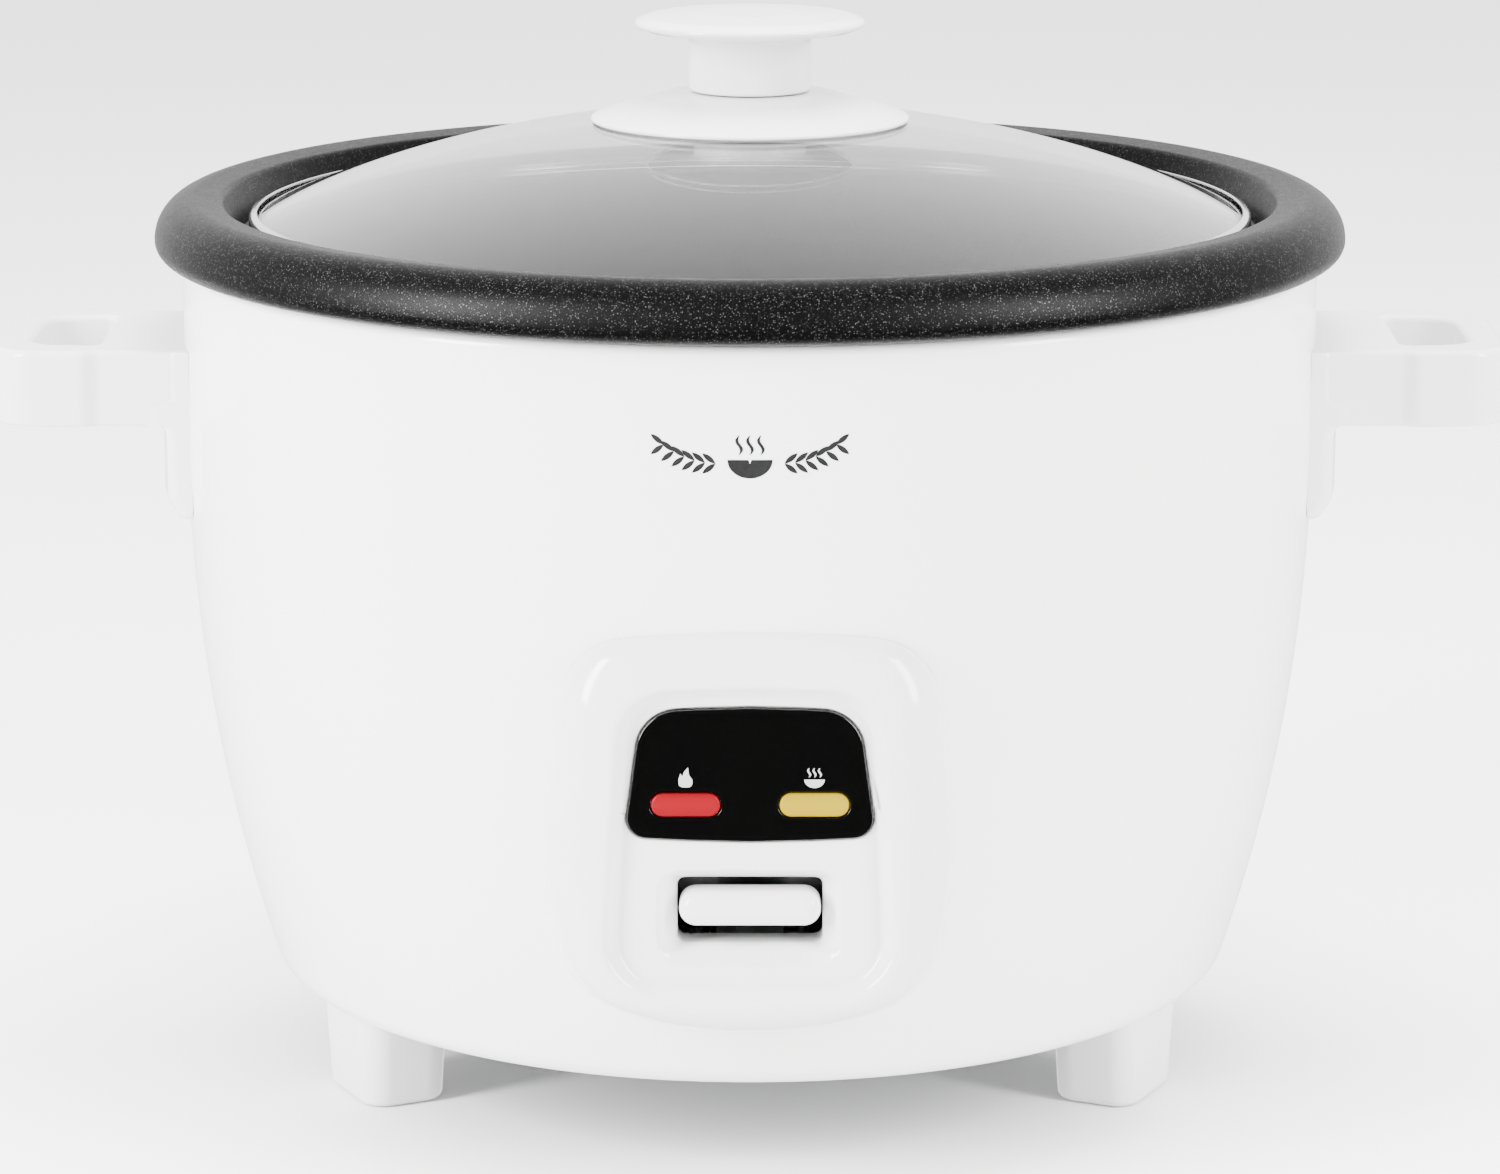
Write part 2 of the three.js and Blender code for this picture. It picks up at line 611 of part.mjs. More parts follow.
const glassTopAt = (r) => {
  const sagAt = (radius) => glassSphere - Math.sqrt(glassSphere ** 2 - radius ** 2);
  return glassEdgeUnderZ + GLASS_THICKNESS + sagAt(glassRadius) - sagAt(r);
};
const glassApexZ = glassTopAt(0);
const glassCentreZ = glassApexZ - glassSphere;
const glassEdgeDegrees = THREE.MathUtils.radToDeg(Math.acos(glassRadius / glassSphere));

function eyeletTilt() {
  return -Math.asin(VENT_EYELET_RADIUS / glassSphere);
}

// A tool or piece drawn upright about the dome's apex, moved to the eyelet's place square to the glass.
const ontoEyeletPlace = (geometry) =>
  geometry.translate(0, 0, glassSphere).rotateX(eyeletTilt()).translate(0, 0, glassCentreZ);

function lidGlass() {
  const innerSphere = glassSphere - GLASS_THICKNESS;
  const innerEdge = THREE.MathUtils.radToDeg(Math.acos(glassRadius / innerSphere));
  const dome = turned([
    ...arc(0, glassCentreZ, innerSphere, 90, innerEdge, 5),
    ...arc(0, glassCentreZ, glassSphere, glassEdgeDegrees, 90, 5),
  ], ROUND);
  const screwHole = rod(SCREW_SHANK + 1, glassApexZ - 10, glassApexZ + 10, SCREW_ROUND);
  const ventHole = ontoEyeletPlace(rod(EYELET_SLEEVE + GAP, -8, 8, SCREW_ROUND));
  return cut(dome, screwHole, ventHole);
}

function lidBand() {
  const topZ = glassTopAt(glassRadius) + GAP + BAND_WALL;
  const inner = bandRadius - BAND_WALL;
  const start = [bandRadius - BAND_LIP, bandBottomZ];
  return turned([
    start, [bandRadius - 0.7, bandBottomZ], [bandRadius, bandBottomZ + 0.7], [bandRadius, topZ - 0.7],
    [bandRadius - BAND_LIP, topZ + 0.6], [bandRadius - BAND_LIP, topZ], [inner, topZ - BAND_WALL],
    [inner, bandBottomZ + BAND_WALL], [bandRadius - BAND_LIP, bandBottomZ + BAND_WALL], start,
  ], ROUND);
}

function addLid() {
  add('lid_glass', lidGlass(), GLASS);
  add('lid_band', lidBand(), STEEL);
  const skirtEdgeZ = glassTopAt(SKIRT_RADIUS) + GAP;
  const skirtTopZ = glassApexZ + GAP + SKIRT_CROWN;
  const boreRadius = SCREW_SHANK + SCREW_HOLE_PLAY;
  const start = [boreRadius, glassTopAt(boreRadius) + GAP];
  add('knob_skirt', turned([
    start,
    [SKIRT_RADIUS / 2, glassTopAt(SKIRT_RADIUS / 2) + GAP],
    [SKIRT_RADIUS, skirtEdgeZ],
    [SKIRT_RADIUS, skirtEdgeZ + 0.5],
    [SKIRT_RADIUS - 4, skirtEdgeZ + 1.9],
    [SKIRT_RADIUS - 12, skirtTopZ - 1.1],
    [KNOB_STEM_RADIUS + 1.5, skirtTopZ],
    [boreRadius, skirtTopZ],
    start,
  ]), WHITE_PLASTIC);
  const stemLow = skirtTopZ + GAP;
  const discLow = stemLow + KNOB_STEM_HEIGHT;
  const top = discLow + KNOB_THICKNESS;
  const knob = turned([
    [0, stemLow],
    [KNOB_STEM_RADIUS - 1, stemLow],
    [KNOB_STEM_RADIUS, stemLow + 1],
    [KNOB_STEM_RADIUS, discLow - 1.6],
    [KNOB_STEM_RADIUS + 2, discLow],
    [KNOB_RADIUS - 3, discLow + 1],
    ...arc(KNOB_RADIUS - 2.2, discLow + 3.4, 2.2, -60, 80, 3),
    [KNOB_STEM_RADIUS, top],
    [0, top],
  ]);
  const screwTop = stemLow + 10;
  add('knob', cut(knob, rod(SCREW_SHANK + GAP, stemLow - 1, screwTop + 1, SCREW_ROUND)), WHITE_PLASTIC);
  const washerTop = glassApexZ - GLASS_THICKNESS - 2 * GAP;
  const washerLow = washerTop - WASHER_THICKNESS;
  add('knob_washer', ring(boreRadius, WASHER_RADIUS, washerLow, washerTop, SMALL_ROUND), RUBBER);
  const screwLow = washerLow - GAP - SCREW_HEAD_HEIGHT;
  add('knob_screw', screw(screwTop - screwLow), STEEL, [0, 0, screwLow]);
  addEyelet();
}

function addEyelet() {
  const above = GAP;
  const below = -GLASS_THICKNESS - GAP;
  const start = [EYELET_HOLE, below - 0.6];
  const geometry = turned([
    start, [EYELET_FLANGE - 0.6, below - 0.6], [EYELET_FLANGE - 0.6, below], [EYELET_SLEEVE, below],
    [EYELET_SLEEVE, above], [EYELET_FLANGE, above], [EYELET_FLANGE - 0.6, above + 0.9],
    [EYELET_HOLE + 0.4, above + 0.9], [EYELET_HOLE, above + 0.4], start,
  ], SCREW_ROUND);
  const tilted = new THREE.Group();
  tilted.position.set(0, 0, glassCentreZ);
  tilted.rotation.x = eyeletTilt();
  cooker.add(tilted);
  add('vent_eyelet', geometry, STEEL, [0, 0, glassSphere], tilted);
}

// ---- heater
function heatingPlate() {
  const hole = CAP_RADIUS + CAP_HOLE_PLAY;
  const groove = ELEMENT_TUBE + ELEMENT_GROOVE_PLAY;
  const start = [hole, plateUnderZ];
  return turned([
    start,
    ...arc(ELEMENT_RING, plateUnderZ, groove, 180, 0, 4),
    [plateRadius - 2, plateUnderZ],
    [plateRadius, plateUnderZ + 3],
    [plateRadius, plateTopZ - 3],
    [plateRadius - 3, plateTopZ],
    [hole, plateTopZ],
    start,
  ], ROUND);
}

// Angles run from straight back; the two ends turn down beside the opening of the ring.
function elementPoints() {
  const onRing = (degrees, z) => {
    const angle = THREE.MathUtils.degToRad(degrees);
    return [ELEMENT_RING * Math.sin(angle), ELEMENT_RING * Math.cos(angle), z];
  };
  const endAt = (sign) => [
    onRing(sign * (ELEMENT_OPEN - 5), plateUnderZ - ELEMENT_TAIL),
    onRing(sign * (ELEMENT_OPEN - 4.5), plateUnderZ - ELEMENT_TUBE),
  ];
  const count = 24;
  const step = (360 - 2 * ELEMENT_OPEN) / count;
  const round = Array.from({ length: count + 1 }, (_, i) => onRing(ELEMENT_OPEN + step * i, plateUnderZ));
  return [...endAt(1), ...round, ...endAt(-1).reverse()];
}

function addHeater() {
  add('heating_plate', heatingPlate(), ALUMINIUM);
  const points = elementPoints();
  add('heating_element', tube(points, ELEMENT_TUBE, 36, 6), ZINC_STEEL);
  for (const [side, [x, y, z]] of [['right', points[0]], ['left', points.at(-1)]]) {
    const top = z - GAP;
    add(`element_tab_${side}`, block(
      [x - TAB_WIDTH / 2, x + TAB_WIDTH / 2], [y - TAB_THICKNESS / 2, y + TAB_THICKNESS / 2],
      [top - TAB_LENGTH, top]), BRASS);
  }
  for (const [i, side] of ['rear', 'left', 'right'].entries()) {
    const angle = Math.PI / 2 + (2 * Math.PI * i) / 3;
    const radius = linerFlatRadius - STANDOFF_INSET;
    add(`plate_standoff_${side}`, rod(STANDOFF_RADIUS, linerFloorZ + GAP, plateUnderZ - GAP, SCREW_ROUND),
      ZINC_STEEL, [radius * Math.cos(angle), radius * Math.sin(angle), 0]);
  }
  const fuseZ = plateUnderZ - GAP - FUSE_RADIUS;
  add('thermal_fuse', alongX(rod(FUSE_RADIUS, -FUSE_LENGTH / 2, FUSE_LENGTH / 2, SCREW_ROUND)), CERAMIC,
    [0, FUSE_Y, fuseZ]);
  const thermostat = turned([
    [0, 0], [THERMOSTAT_RADIUS * 0.7, 0], [THERMOSTAT_RADIUS, 2], [THERMOSTAT_RADIUS, THERMOSTAT_HEIGHT],
    [0, THERMOSTAT_HEIGHT],
  ], SCREW_ROUND);
  const underLedge = [-(linerFlatRadius + linerHole) / 2, 0, linerUnderZ - GAP - THERMOSTAT_HEIGHT];
  add('warm_thermostat', thermostat, BLACK_PLASTIC, underLedge);
}

// ---- sensor under the pot
function addSensor() {
  const guideInside = CAP_RADIUS + SLIDE_GAP;
  const guideTop = plateUnderZ - GAP;
  const guideFloor = guideTop - GUIDE_DEPTH;
  add('sensor_cap', turned([
    [0, capRoofZ], [CAP_RADIUS - CAP_WALL, capRoofZ], [CAP_RADIUS - CAP_WALL, plateTopZ - CAP_HEIGHT],
    [CAP_RADIUS, plateTopZ - CAP_HEIGHT], [CAP_RADIUS, plateTopZ - 1], [CAP_RADIUS - 1, plateTopZ],
    [0, plateTopZ],
  ]), ALUMINIUM);
  add('ferrite_disc', rod(FERRITE_RADIUS, ferriteUnderZ, capRoofZ - GAP), FERRITE_GREY);
  const guideStart = [GUIDE_HOLE, guideFloor];
  add('sensor_guide', turned([
    guideStart, [guideInside + GUIDE_WALL, guideFloor], [guideInside + GUIDE_WALL, guideTop - GUIDE_WALL],
    [guideInside + GUIDE_FLANGE, guideTop - GUIDE_WALL], [guideInside + GUIDE_FLANGE, guideTop],
    [guideInside, guideTop], [guideInside, guideFloor + GUIDE_WALL], [GUIDE_HOLE, guideFloor + GUIDE_WALL],
    guideStart,
  ]), ZINC_STEEL);
  const springLow = guideFloor + GUIDE_WALL + SPRING_WIRE + GAP;
  const springHigh = capRoofZ - SPRING_WIRE - GAP;
  const turns = coil(sensorSpringRadius, springLow, springHigh, SPRING_TURNS, 10);
  add('sensor_spring', tube(turns, SPRING_WIRE, SPRING_TURNS * 10, 4), STEEL);
  const magnetTop = ferriteUnderZ - MAGNET_AIR_GAP - magnetLift;
  const magnetLow = magnetTop - MAGNET_THICKNESS;
  add('magnet', rod(MAGNET_RADIUS, magnetLow, magnetTop), FERRITE_GREY);
  const rodLow = ARM_TAIL_Z + ARM_THICKNESS / 2 + GAP + (ARM_TAIL_PAST * (PIVOT_Z - ARM_TAIL_Z)) / -pivotY;
  add('magnet_rod', turned([
    [0, rodLow], [ROD_RADIUS + 2, rodLow], [ROD_RADIUS + 2, rodLow + 1.5], [ROD_RADIUS, rodLow + 1.5],
    [ROD_RADIUS, magnetLow - GAP], [0, magnetLow - GAP],
  ], SCREW_ROUND), STEEL);
}

// ---- front panel
function bezelOutline() {
  const shape = new THREE.Shape();
  const shoulderX = BEZEL_HALF_WIDTH * 0.88;
  const shoulder = BEZEL_TOP - 14;
  const height = BEZEL_TOP - BEZEL_BOTTOM;
  shape.moveTo(0, BEZEL_BOTTOM);
  shape.bezierCurveTo(24, BEZEL_BOTTOM, BEZEL_HALF_WIDTH, BEZEL_WAIST - 20, BEZEL_HALF_WIDTH, BEZEL_WAIST);
  shape.bezierCurveTo(
    BEZEL_HALF_WIDTH, BEZEL_WAIST + 15, shoulderX + 3, shoulder - height * 0.09, shoulderX, shoulder);
  shape.bezierCurveTo(shoulderX - 4.5, BEZEL_TOP - 3, 15, BEZEL_TOP, 0, BEZEL_TOP);
  shape.bezierCurveTo(-15, BEZEL_TOP, -shoulderX + 4.5, BEZEL_TOP - 3, -shoulderX, shoulder);
  shape.bezierCurveTo(
    -shoulderX - 3, shoulder - height * 0.09, -BEZEL_HALF_WIDTH, BEZEL_WAIST + 15,
    -BEZEL_HALF_WIDTH, BEZEL_WAIST);
  shape.bezierCurveTo(-BEZEL_HALF_WIDTH, BEZEL_WAIST - 20, -24, BEZEL_BOTTOM, 0, BEZEL_BOTTOM);
  return shape;
}

// The bezel's rounded lump, its outline moved in by an amount, with its face at a given depth.
function bezelLump(inset, frontY) {
  const body = 44;
  return new THREE.ExtrudeGeometry(bezelOutline(), {
    depth: body, curveSegments: 5, bevelEnabled: true, bevelSegments: 3,
    bevelThickness: BEZEL_ROLL, bevelSize: BEZEL_FLANK, bevelOffset: -BEZEL_FLANK - inset,
  }).rotateX(Math.PI / 2).translate(0, frontY + body + BEZEL_ROLL, 0);
}

// The sunk field's wall slopes in from the ring.
function fieldTool() {
  const slope = 1.4;
  return new THREE.ExtrudeGeometry(bezelOutline(), {
    depth: 10, curveSegments: 5, bevelEnabled: true, bevelSegments: 1,
    bevelThickness: FIELD_DEPTH, bevelSize: slope, bevelOffset: -BEZEL_FLANK - FIELD_INSET + slope * 0.2,
  }).rotateX(-Math.PI / 2).rotateY(Math.PI).translate(0, fieldY - 10 - FIELD_DEPTH, 0);
}

// A crowned top with wide round shoulders, sides that lean in, and small lower corners.
function panelOutline(inset) {
  const halfWidth = PANEL_HALF_WIDTH - inset;
  const top = PANEL_TOP - inset;
  const bottom = PANEL_BOTTOM + inset;
  const sideLow = bottom + 6;
  const lowCorner = [halfWidth * 0.82, bottom + 0.8];
  const shoulder = [halfWidth * 0.52, top - 0.6];
  const shape = new THREE.Shape();
  shape.moveTo(0, bottom);
  shape.quadraticCurveTo(halfWidth * 0.5, bottom, ...lowCorner);
  shape.quadraticCurveTo(halfWidth * 1.02, bottom + 1.2, halfWidth, sideLow);
  shape.lineTo(halfWidth * 0.93, sideLow + 11);
  shape.bezierCurveTo(halfWidth * 0.88, sideLow + 18, halfWidth * 0.7, top - 0.8, ...shoulder);
  shape.quadraticCurveTo(halfWidth * 0.25, top, 0, top);
  shape.quadraticCurveTo(-halfWidth * 0.25, top, -shoulder[0], shoulder[1]);
  shape.bezierCurveTo(
    -halfWidth * 0.7, top - 0.8, -halfWidth * 0.88, sideLow + 18, -halfWidth * 0.93, sideLow + 11);
  shape.lineTo(-halfWidth, sideLow);
  shape.quadraticCurveTo(-halfWidth * 1.02, bottom + 1.2, -lowCorner[0], lowCorner[1]);
  shape.quadraticCurveTo(-halfWidth * 0.5, bottom, 0, bottom);
  return shape;
}

const lensOutline = (middleX, play) => roundedRectangle(
  middleX - LENS_LENGTH / 2 - play, middleX + LENS_LENGTH / 2 + play,
  LENS_Z - LENS_HEIGHT / 2 - play, LENS_Z + LENS_HEIGHT / 2 + play, LENS_HEIGHT / 2 + play - 0.01);

const panelFrontY = fieldY - PANEL_PROUD;
const panelBackY = panelFrontY + PANEL_THICKNESS;
const slotBackY = fieldY + SLOT_DEPTH + 1.4;

// The recess in front of the slot, as a frustum whose sides slope in to the slot.
function slotTool() {
  const slotOutline = (corner) =>
    roundedRectangle(-SLOT_HALF_WIDTH, SLOT_HALF_WIDTH, SLOT_BOTTOM, SLOT_TOP, corner);
  const opening = facing(slotOutline(1.5), fieldY - 4, slotBackY + 20);
  const mouth = facing(slotOutline(3), fieldY - 0.01, fieldY + SLOT_DEPTH);
  const at = mouth.getAttribute('position');
  const middleZ = (SLOT_TOP + SLOT_BOTTOM) / 2;
  for (let i = 0; i < at.count; i += 1) {
    if (at.getY(i) > fieldY + 1) continue;
    const side = Math.sign(at.getX(i)) * SLOT_BEVEL_SIDE;
    const lift = at.getZ(i) > middleZ ? SLOT_BEVEL_TOP : -SLOT_BEVEL_BOTTOM;
    at.setX(i, at.getX(i) + side);
    at.setZ(i, at.getZ(i) + lift);
  }
  return [opening, mouth];
}

function controlBezel() {
  const frame = block(
    [-SLOT_HALF_WIDTH - SLOT_FRAME_WALL - 2, SLOT_HALF_WIDTH + SLOT_FRAME_WALL + 2], [fieldY + 1, slotBackY],
    [SLOT_BOTTOM - SLOT_BEVEL_BOTTOM - 2, SLOT_TOP + SLOT_BEVEL_TOP + 1]);
  const hollow = cut(bezelLump(0, bezelFrontY), bezelLump(BEZEL_WALL, fieldY + BEZEL_WALL));
  const panelSeat = facing(panelOutline(-GAP), fieldY - 5, panelBackY + GAP);
  const lensHoles = [-LENS_X, LENS_X].map((x) => facing(lensOutline(x, GAP), fieldY - 5, fieldY + 10));
  return cut(join(hollow, frame), fieldTool(), panelSeat, ...lensHoles, ...slotTool(), shellFiller());
}

function addFront() {
  add('control_bezel', controlBezel(), WHITE_PLASTIC);
  const lensHoles = [-LENS_X, LENS_X].map((x) =>
    facing(lensOutline(x, GAP), panelFrontY - 5, panelBackY + 5));
  add('indicator_panel', cut(facing(panelOutline(0), panelFrontY, panelBackY), ...lensHoles), BLACK_GLOSS);
  const lensFrontY = panelFrontY - LENS_PROUD;
  const holderBackY = -(linerInside + LINER_WALL + HOLDER_TO_LINER);
  const pocketBackY = holderBackY - HOLDER_BACK_WALL;
  const pocket = (x) => block([x - LENS_LENGTH / 2, x + LENS_LENGTH / 2], [pocketBackY - 20, pocketBackY],
    [LENS_Z - LAMP_RADIUS - 1, LENS_Z + LAMP_RADIUS + 1]);
  const holder = block([-HOLDER_HALF_WIDTH, HOLDER_HALF_WIDTH], [holderBackY - HOLDER_DEPTH, holderBackY],
    [LENS_Z - HOLDER_HALF_HEIGHT, LENS_Z + HOLDER_HALF_HEIGHT]);
  add('lamp_holder', cut(holder, pocket(-LENS_X), pocket(LENS_X)), CERAMIC);
  for (const [name, x, material] of [['cook', -LENS_X, RED_LENS], ['warm', LENS_X, YELLOW_LENS]]) {
    add(`${name}_lens`, facing(lensOutline(0, 0), lensFrontY, lensFrontY + LENS_DEPTH), material, [x, 0, 0]);
    add(`${name}_lamp`, alongX(turned([
      [0, -LAMP_LENGTH / 2], [LAMP_RADIUS, 1 - LAMP_LENGTH / 2], [LAMP_RADIUS, LAMP_LENGTH / 2 - 2],
      [0, LAMP_LENGTH / 2],
    ], SCREW_ROUND)), LAMP_GLASS, [x, pocketBackY - LAMP_RADIUS - GAP, LENS_Z]);
  }
}

// ---- cook lever
const buttonFrontY = fieldY - BUTTON_PROUD;
const armTipY = buttonFrontY + BUTTON_DEPTH - ARM_INTO_BUTTON;

// The arm's middle line from its tip in the button to its tail under the magnet, as (depth, height).
function armLine() {
  const stepY = bezelFrontY + ARM_STEP_BACK;
  return [[armTipY, BUTTON_Z], [stepY, BUTTON_Z], [stepY + ARM_STEP_LENGTH, PIVOT_Z], [pivotY, PIVOT_Z],
    [ARM_TAIL_PAST, ARM_TAIL_Z]];
}

function thickened(line, thickness) {
  const points = line.map(([x, y]) => new THREE.Vector2(x, y));
  const side = (sign) => points.map((point, i) => {
    const before = points[Math.max(i - 1, 0)];
    const after = points[Math.min(i + 1, points.length - 1)];
    const into = point.clone().sub(before).normalize();
    const out = after.clone().sub(point).normalize();
    if (i === 0) into.copy(out);
    if (i === points.length - 1) out.copy(into);
    const normal = into.clone().add(out).normalize();
    const stretch = thickness / 2 / normal.dot(into);
    return [point.x - sign * normal.y * stretch, point.y + sign * normal.x * stretch];
  });
  return outline([...side(-1), ...side(1).reverse()]);
}

const atPivot = (radius, half) =>
  alongX(rod(radius, -half, half, SCREW_ROUND)).translate(0, pivotY, PIVOT_Z);

function switchLever() {
  const boss = atPivot(PIVOT_BOSS, ARM_WIDTH / 2);
  const bore = atPivot(PIN_RADIUS + PIN_PLAY, ARM_WIDTH);
  return cut(join(sideways(thickened(armLine(), ARM_THICKNESS), ARM_WIDTH), boss), bore);
}

function leverButton() {
  const bar = new THREE.ExtrudeGeometry(
    roundedRectangle(-BUTTON_HALF_WIDTH, BUTTON_HALF_WIDTH, -BUTTON_HEIGHT / 2, BUTTON_HEIGHT / 2,
      BUTTON_CORNER), {
      depth: BUTTON_DEPTH - 4, curveSegments: 3, bevelEnabled: true, bevelSegments: 2,
      bevelThickness: 2, bevelSize: 2.4, bevelOffset: -2.4,
    }).rotateX(Math.PI / 2).translate(0, buttonFrontY + BUTTON_DEPTH - 2, BUTTON_Z);
  const socket = block(
    [-ARM_WIDTH / 2 - GAP, ARM_WIDTH / 2 + GAP], [armTipY - GAP, armTipY + 20],
    [BUTTON_Z - ARM_THICKNESS / 2 - GAP, BUTTON_Z + ARM_THICKNESS / 2 + GAP]);
  return cut(bar, socket);
}

function leverBracket() {
  const floorZ = basePlateZ + BASE_PLATE_THICKNESS + GAP;
  const [near, far] = [pivotY - BRACKET_LENGTH / 2, pivotY + BRACKET_LENGTH / 2];
  const top = PIVOT_Z + BRACKET_ABOVE_PIN;
  const outerX = CHEEK_X + BRACKET_WALL;
  const floor = block([-outerX, outerX], [near, far], [floorZ, floorZ + BRACKET_WALL]);
  const cheek = (x) => block([x, x + BRACKET_WALL], [near, far], [floorZ, top]);
  const shelfZ = switchLowZ() + 1;
  const switchEnd = pivotY + SWITCH_BEHIND_PIVOT + SWITCH_LENGTH;
  const shelf = block([CHEEK_X, outerX], [far - 1, switchEnd], [shelfZ, top]);
  const bore = atPivot(PIN_RADIUS + PIN_PLAY, CHEEK_X * 2);
  return cut(join(floor, cheek(-outerX), cheek(CHEEK_X), shelf), bore);
}

const armTopAt = (y) => PIVOT_Z - ((PIVOT_Z - ARM_TAIL_Z) * (y - pivotY)) / (ARM_TAIL_PAST - pivotY)
  + ARM_THICKNESS / 2;
const plungerY = pivotY + PLUNGER_BEHIND_PIVOT;
const plungerX = ARM_WIDTH / 2 - 1.6;
function switchLowZ() {
  return armTopAt(plungerY) + GAP + PLUNGER_SHOWING;
}

function addLever() {
  add('switch_lever', switchLever(), ZINC_STEEL);
  add('lever_button', leverButton(), WHITE_PLASTIC);
  add('lever_bracket', leverBracket(), ZINC_STEEL);
  const pinHalf = CHEEK_X + BRACKET_WALL + 1.5;
  add('lever_pin', alongX(rod(PIN_RADIUS, -pinHalf, pinHalf, SCREW_ROUND)), STEEL, [0, pivotY, PIVOT_Z]);
  add('lever_spring', leverSpring(), STEEL, [0, pivotY, PIVOT_Z]);
  const low = switchLowZ();
  const switchX = [CHEEK_X - GAP - SWITCH_WIDTH, CHEEK_X - GAP];
  const body = block(switchX, [pivotY + SWITCH_BEHIND_PIVOT, pivotY + SWITCH_BEHIND_PIVOT + SWITCH_LENGTH],
    [low, low + SWITCH_HEIGHT]);
  const half = PLUNGER_SIZE / 2;
  const play = half + GAP;
  const hole = block([plungerX - play, plungerX + play], [plungerY - play, plungerY + play],
    [low - 1, low + PLUNGER_HOLE_DEPTH]);
  add('micro_switch', cut(body, hole), BLACK_PLASTIC);
  const plungerZ = [armTopAt(plungerY) + GAP + 0.1, low + 2.6];
  add('switch_plunger', block([-half, half], [-half, half], plungerZ), CERAMIC, [plungerX, plungerY, 0]);
}

// A torsion spring beside the lever's boss, with one leg under the arm and one down to the bracket.
function leverSpring() {
  const from = -CHEEK_X + LEVER_SPRING_WIRE + GAP;
  const to = -ARM_WIDTH / 2 - LEVER_SPRING_WIRE - GAP;
  const turns = coil(LEVER_SPRING_RADIUS, from, to, LEVER_SPRING_TURNS, 8).map(([a, b, x]) => [x, a, b]);
  const [endX, endY] = turns.at(-1);
  return tube([...turns, [endX, endY + 0.4, -3], [endX, endY - 0.6, -12]], LEVER_SPRING_WIRE, 26, 4);
}

// ---- handles
function handleScrewPlaces() {
  const z = handleUnderZ + HANDLE_HEIGHT / 2;
  const places = [];
  for (const sign of [-1, 1]) {
    for (const y of [-HANDLE_SCREW_Y, HANDLE_SCREW_Y]) {
      places.push([sign * Math.sqrt((BODY_RADIUS - SHELL_WALL) ** 2 - y ** 2), y, z]);
    }
  }
  return places;
}

// The loop in plan, for the right-hand side.
function handlePlan(bevel) {
  const noseStart = HANDLE_REACH - NOSE_LENGTH;
  const half = HANDLE_HALF_DEPTH - bevel;
  const nose = NOSE_HALF_DEPTH - bevel;
  const reach = HANDLE_REACH - bevel;
  const shape = new THREE.Shape();
  shape.moveTo(BODY_RADIUS - 15, -half);
  shape.lineTo(noseStart - 3, -half);
  shape.quadraticCurveTo(noseStart - 1, -nose, noseStart + 1, -nose);
  shape.bezierCurveTo(noseStart + 12, -nose + 1, reach, -nose * 0.55, reach, 0);
  shape.bezierCurveTo(reach, nose * 0.55, noseStart + 12, nose - 1, noseStart + 1, nose);
  shape.quadraticCurveTo(noseStart - 1, nose, noseStart - 3, half);
  shape.lineTo(BODY_RADIUS - 15, half);
  shape.closePath();
  return shape;
}

// The finger opening: flat towards the pot, round towards the nose.
function fingerTool() {
  const flatX = HANDLE_REACH - LOOP_WALL - FINGER_LENGTH;
  const tipX = HANDLE_REACH - LOOP_WALL;
  const shape = new THREE.Shape();
  shape.moveTo(flatX, -FINGER_HALF_DEPTH + 2);
  shape.quadraticCurveTo(flatX, -FINGER_HALF_DEPTH, flatX + 2, -FINGER_HALF_DEPTH);
  shape.bezierCurveTo(flatX + 9, -FINGER_HALF_DEPTH, tipX, -FINGER_HALF_DEPTH * 0.6, tipX, 0);
  shape.bezierCurveTo(
    tipX, FINGER_HALF_DEPTH * 0.6, flatX + 9, FINGER_HALF_DEPTH, flatX + 2, FINGER_HALF_DEPTH);
  shape.quadraticCurveTo(flatX, FINGER_HALF_DEPTH, flatX, FINGER_HALF_DEPTH - 2);
  shape.closePath();
  return upright(shape, handleUnderZ - 5, handleTopZ + 5, 5);
}

function handle(sign) {
  const loop = new THREE.ExtrudeGeometry(handlePlan(0), {
    depth: HANDLE_HEIGHT - 2 * HANDLE_BEVEL, curveSegments: 5, bevelEnabled: true, bevelSegments: 2,
    bevelThickness: HANDLE_BEVEL, bevelSize: HANDLE_BEVEL, bevelOffset: -HANDLE_BEVEL,
  }).translate(0, 0, handleUnderZ + HANDLE_BEVEL);
  const outer = BODY_RADIUS + HANDLE_PLATE;
  const low = handleUnderZ - HANDLE_PLATE_BELOW;
  const start = [BODY_RADIUS - 4, low];
  const pad = turned([
    start, [BODY_RADIUS + 0.6, low], [outer - 0.8, low + 5], [outer, low + 9], [outer, handleTopZ - 1.5],
    [outer - 1.5, handleTopZ], [BODY_RADIUS - 4, handleTopZ], start,
  ], ROUND);
  const padFace = roundedRectangle(-HANDLE_HALF_DEPTH, HANDLE_HALF_DEPTH, low, handleTopZ + 5, 5);
  const padCut = new THREE.ExtrudeGeometry(padFace, { depth: 60, bevelEnabled: false, curveSegments: 3 })
    .rotateX(Math.PI / 2).rotateZ(Math.PI / 2).translate(BODY_RADIUS - 30, 0, 0);
  const screwHoles = handleScrewPlaces().filter(([x]) => x > 0).map(([x, y, z]) =>
    alongX(rod(SCREW_SHANK + GAP, -5, HANDLE_SCREW_LENGTH + 1, SCREW_ROUND)).translate(x, y, z));
  const right = cut(join(loop, common(pad, padCut)), fingerTool(), shellFiller(), ...screwHoles);
  return sign > 0 ? right : right.rotateZ(Math.PI);
}

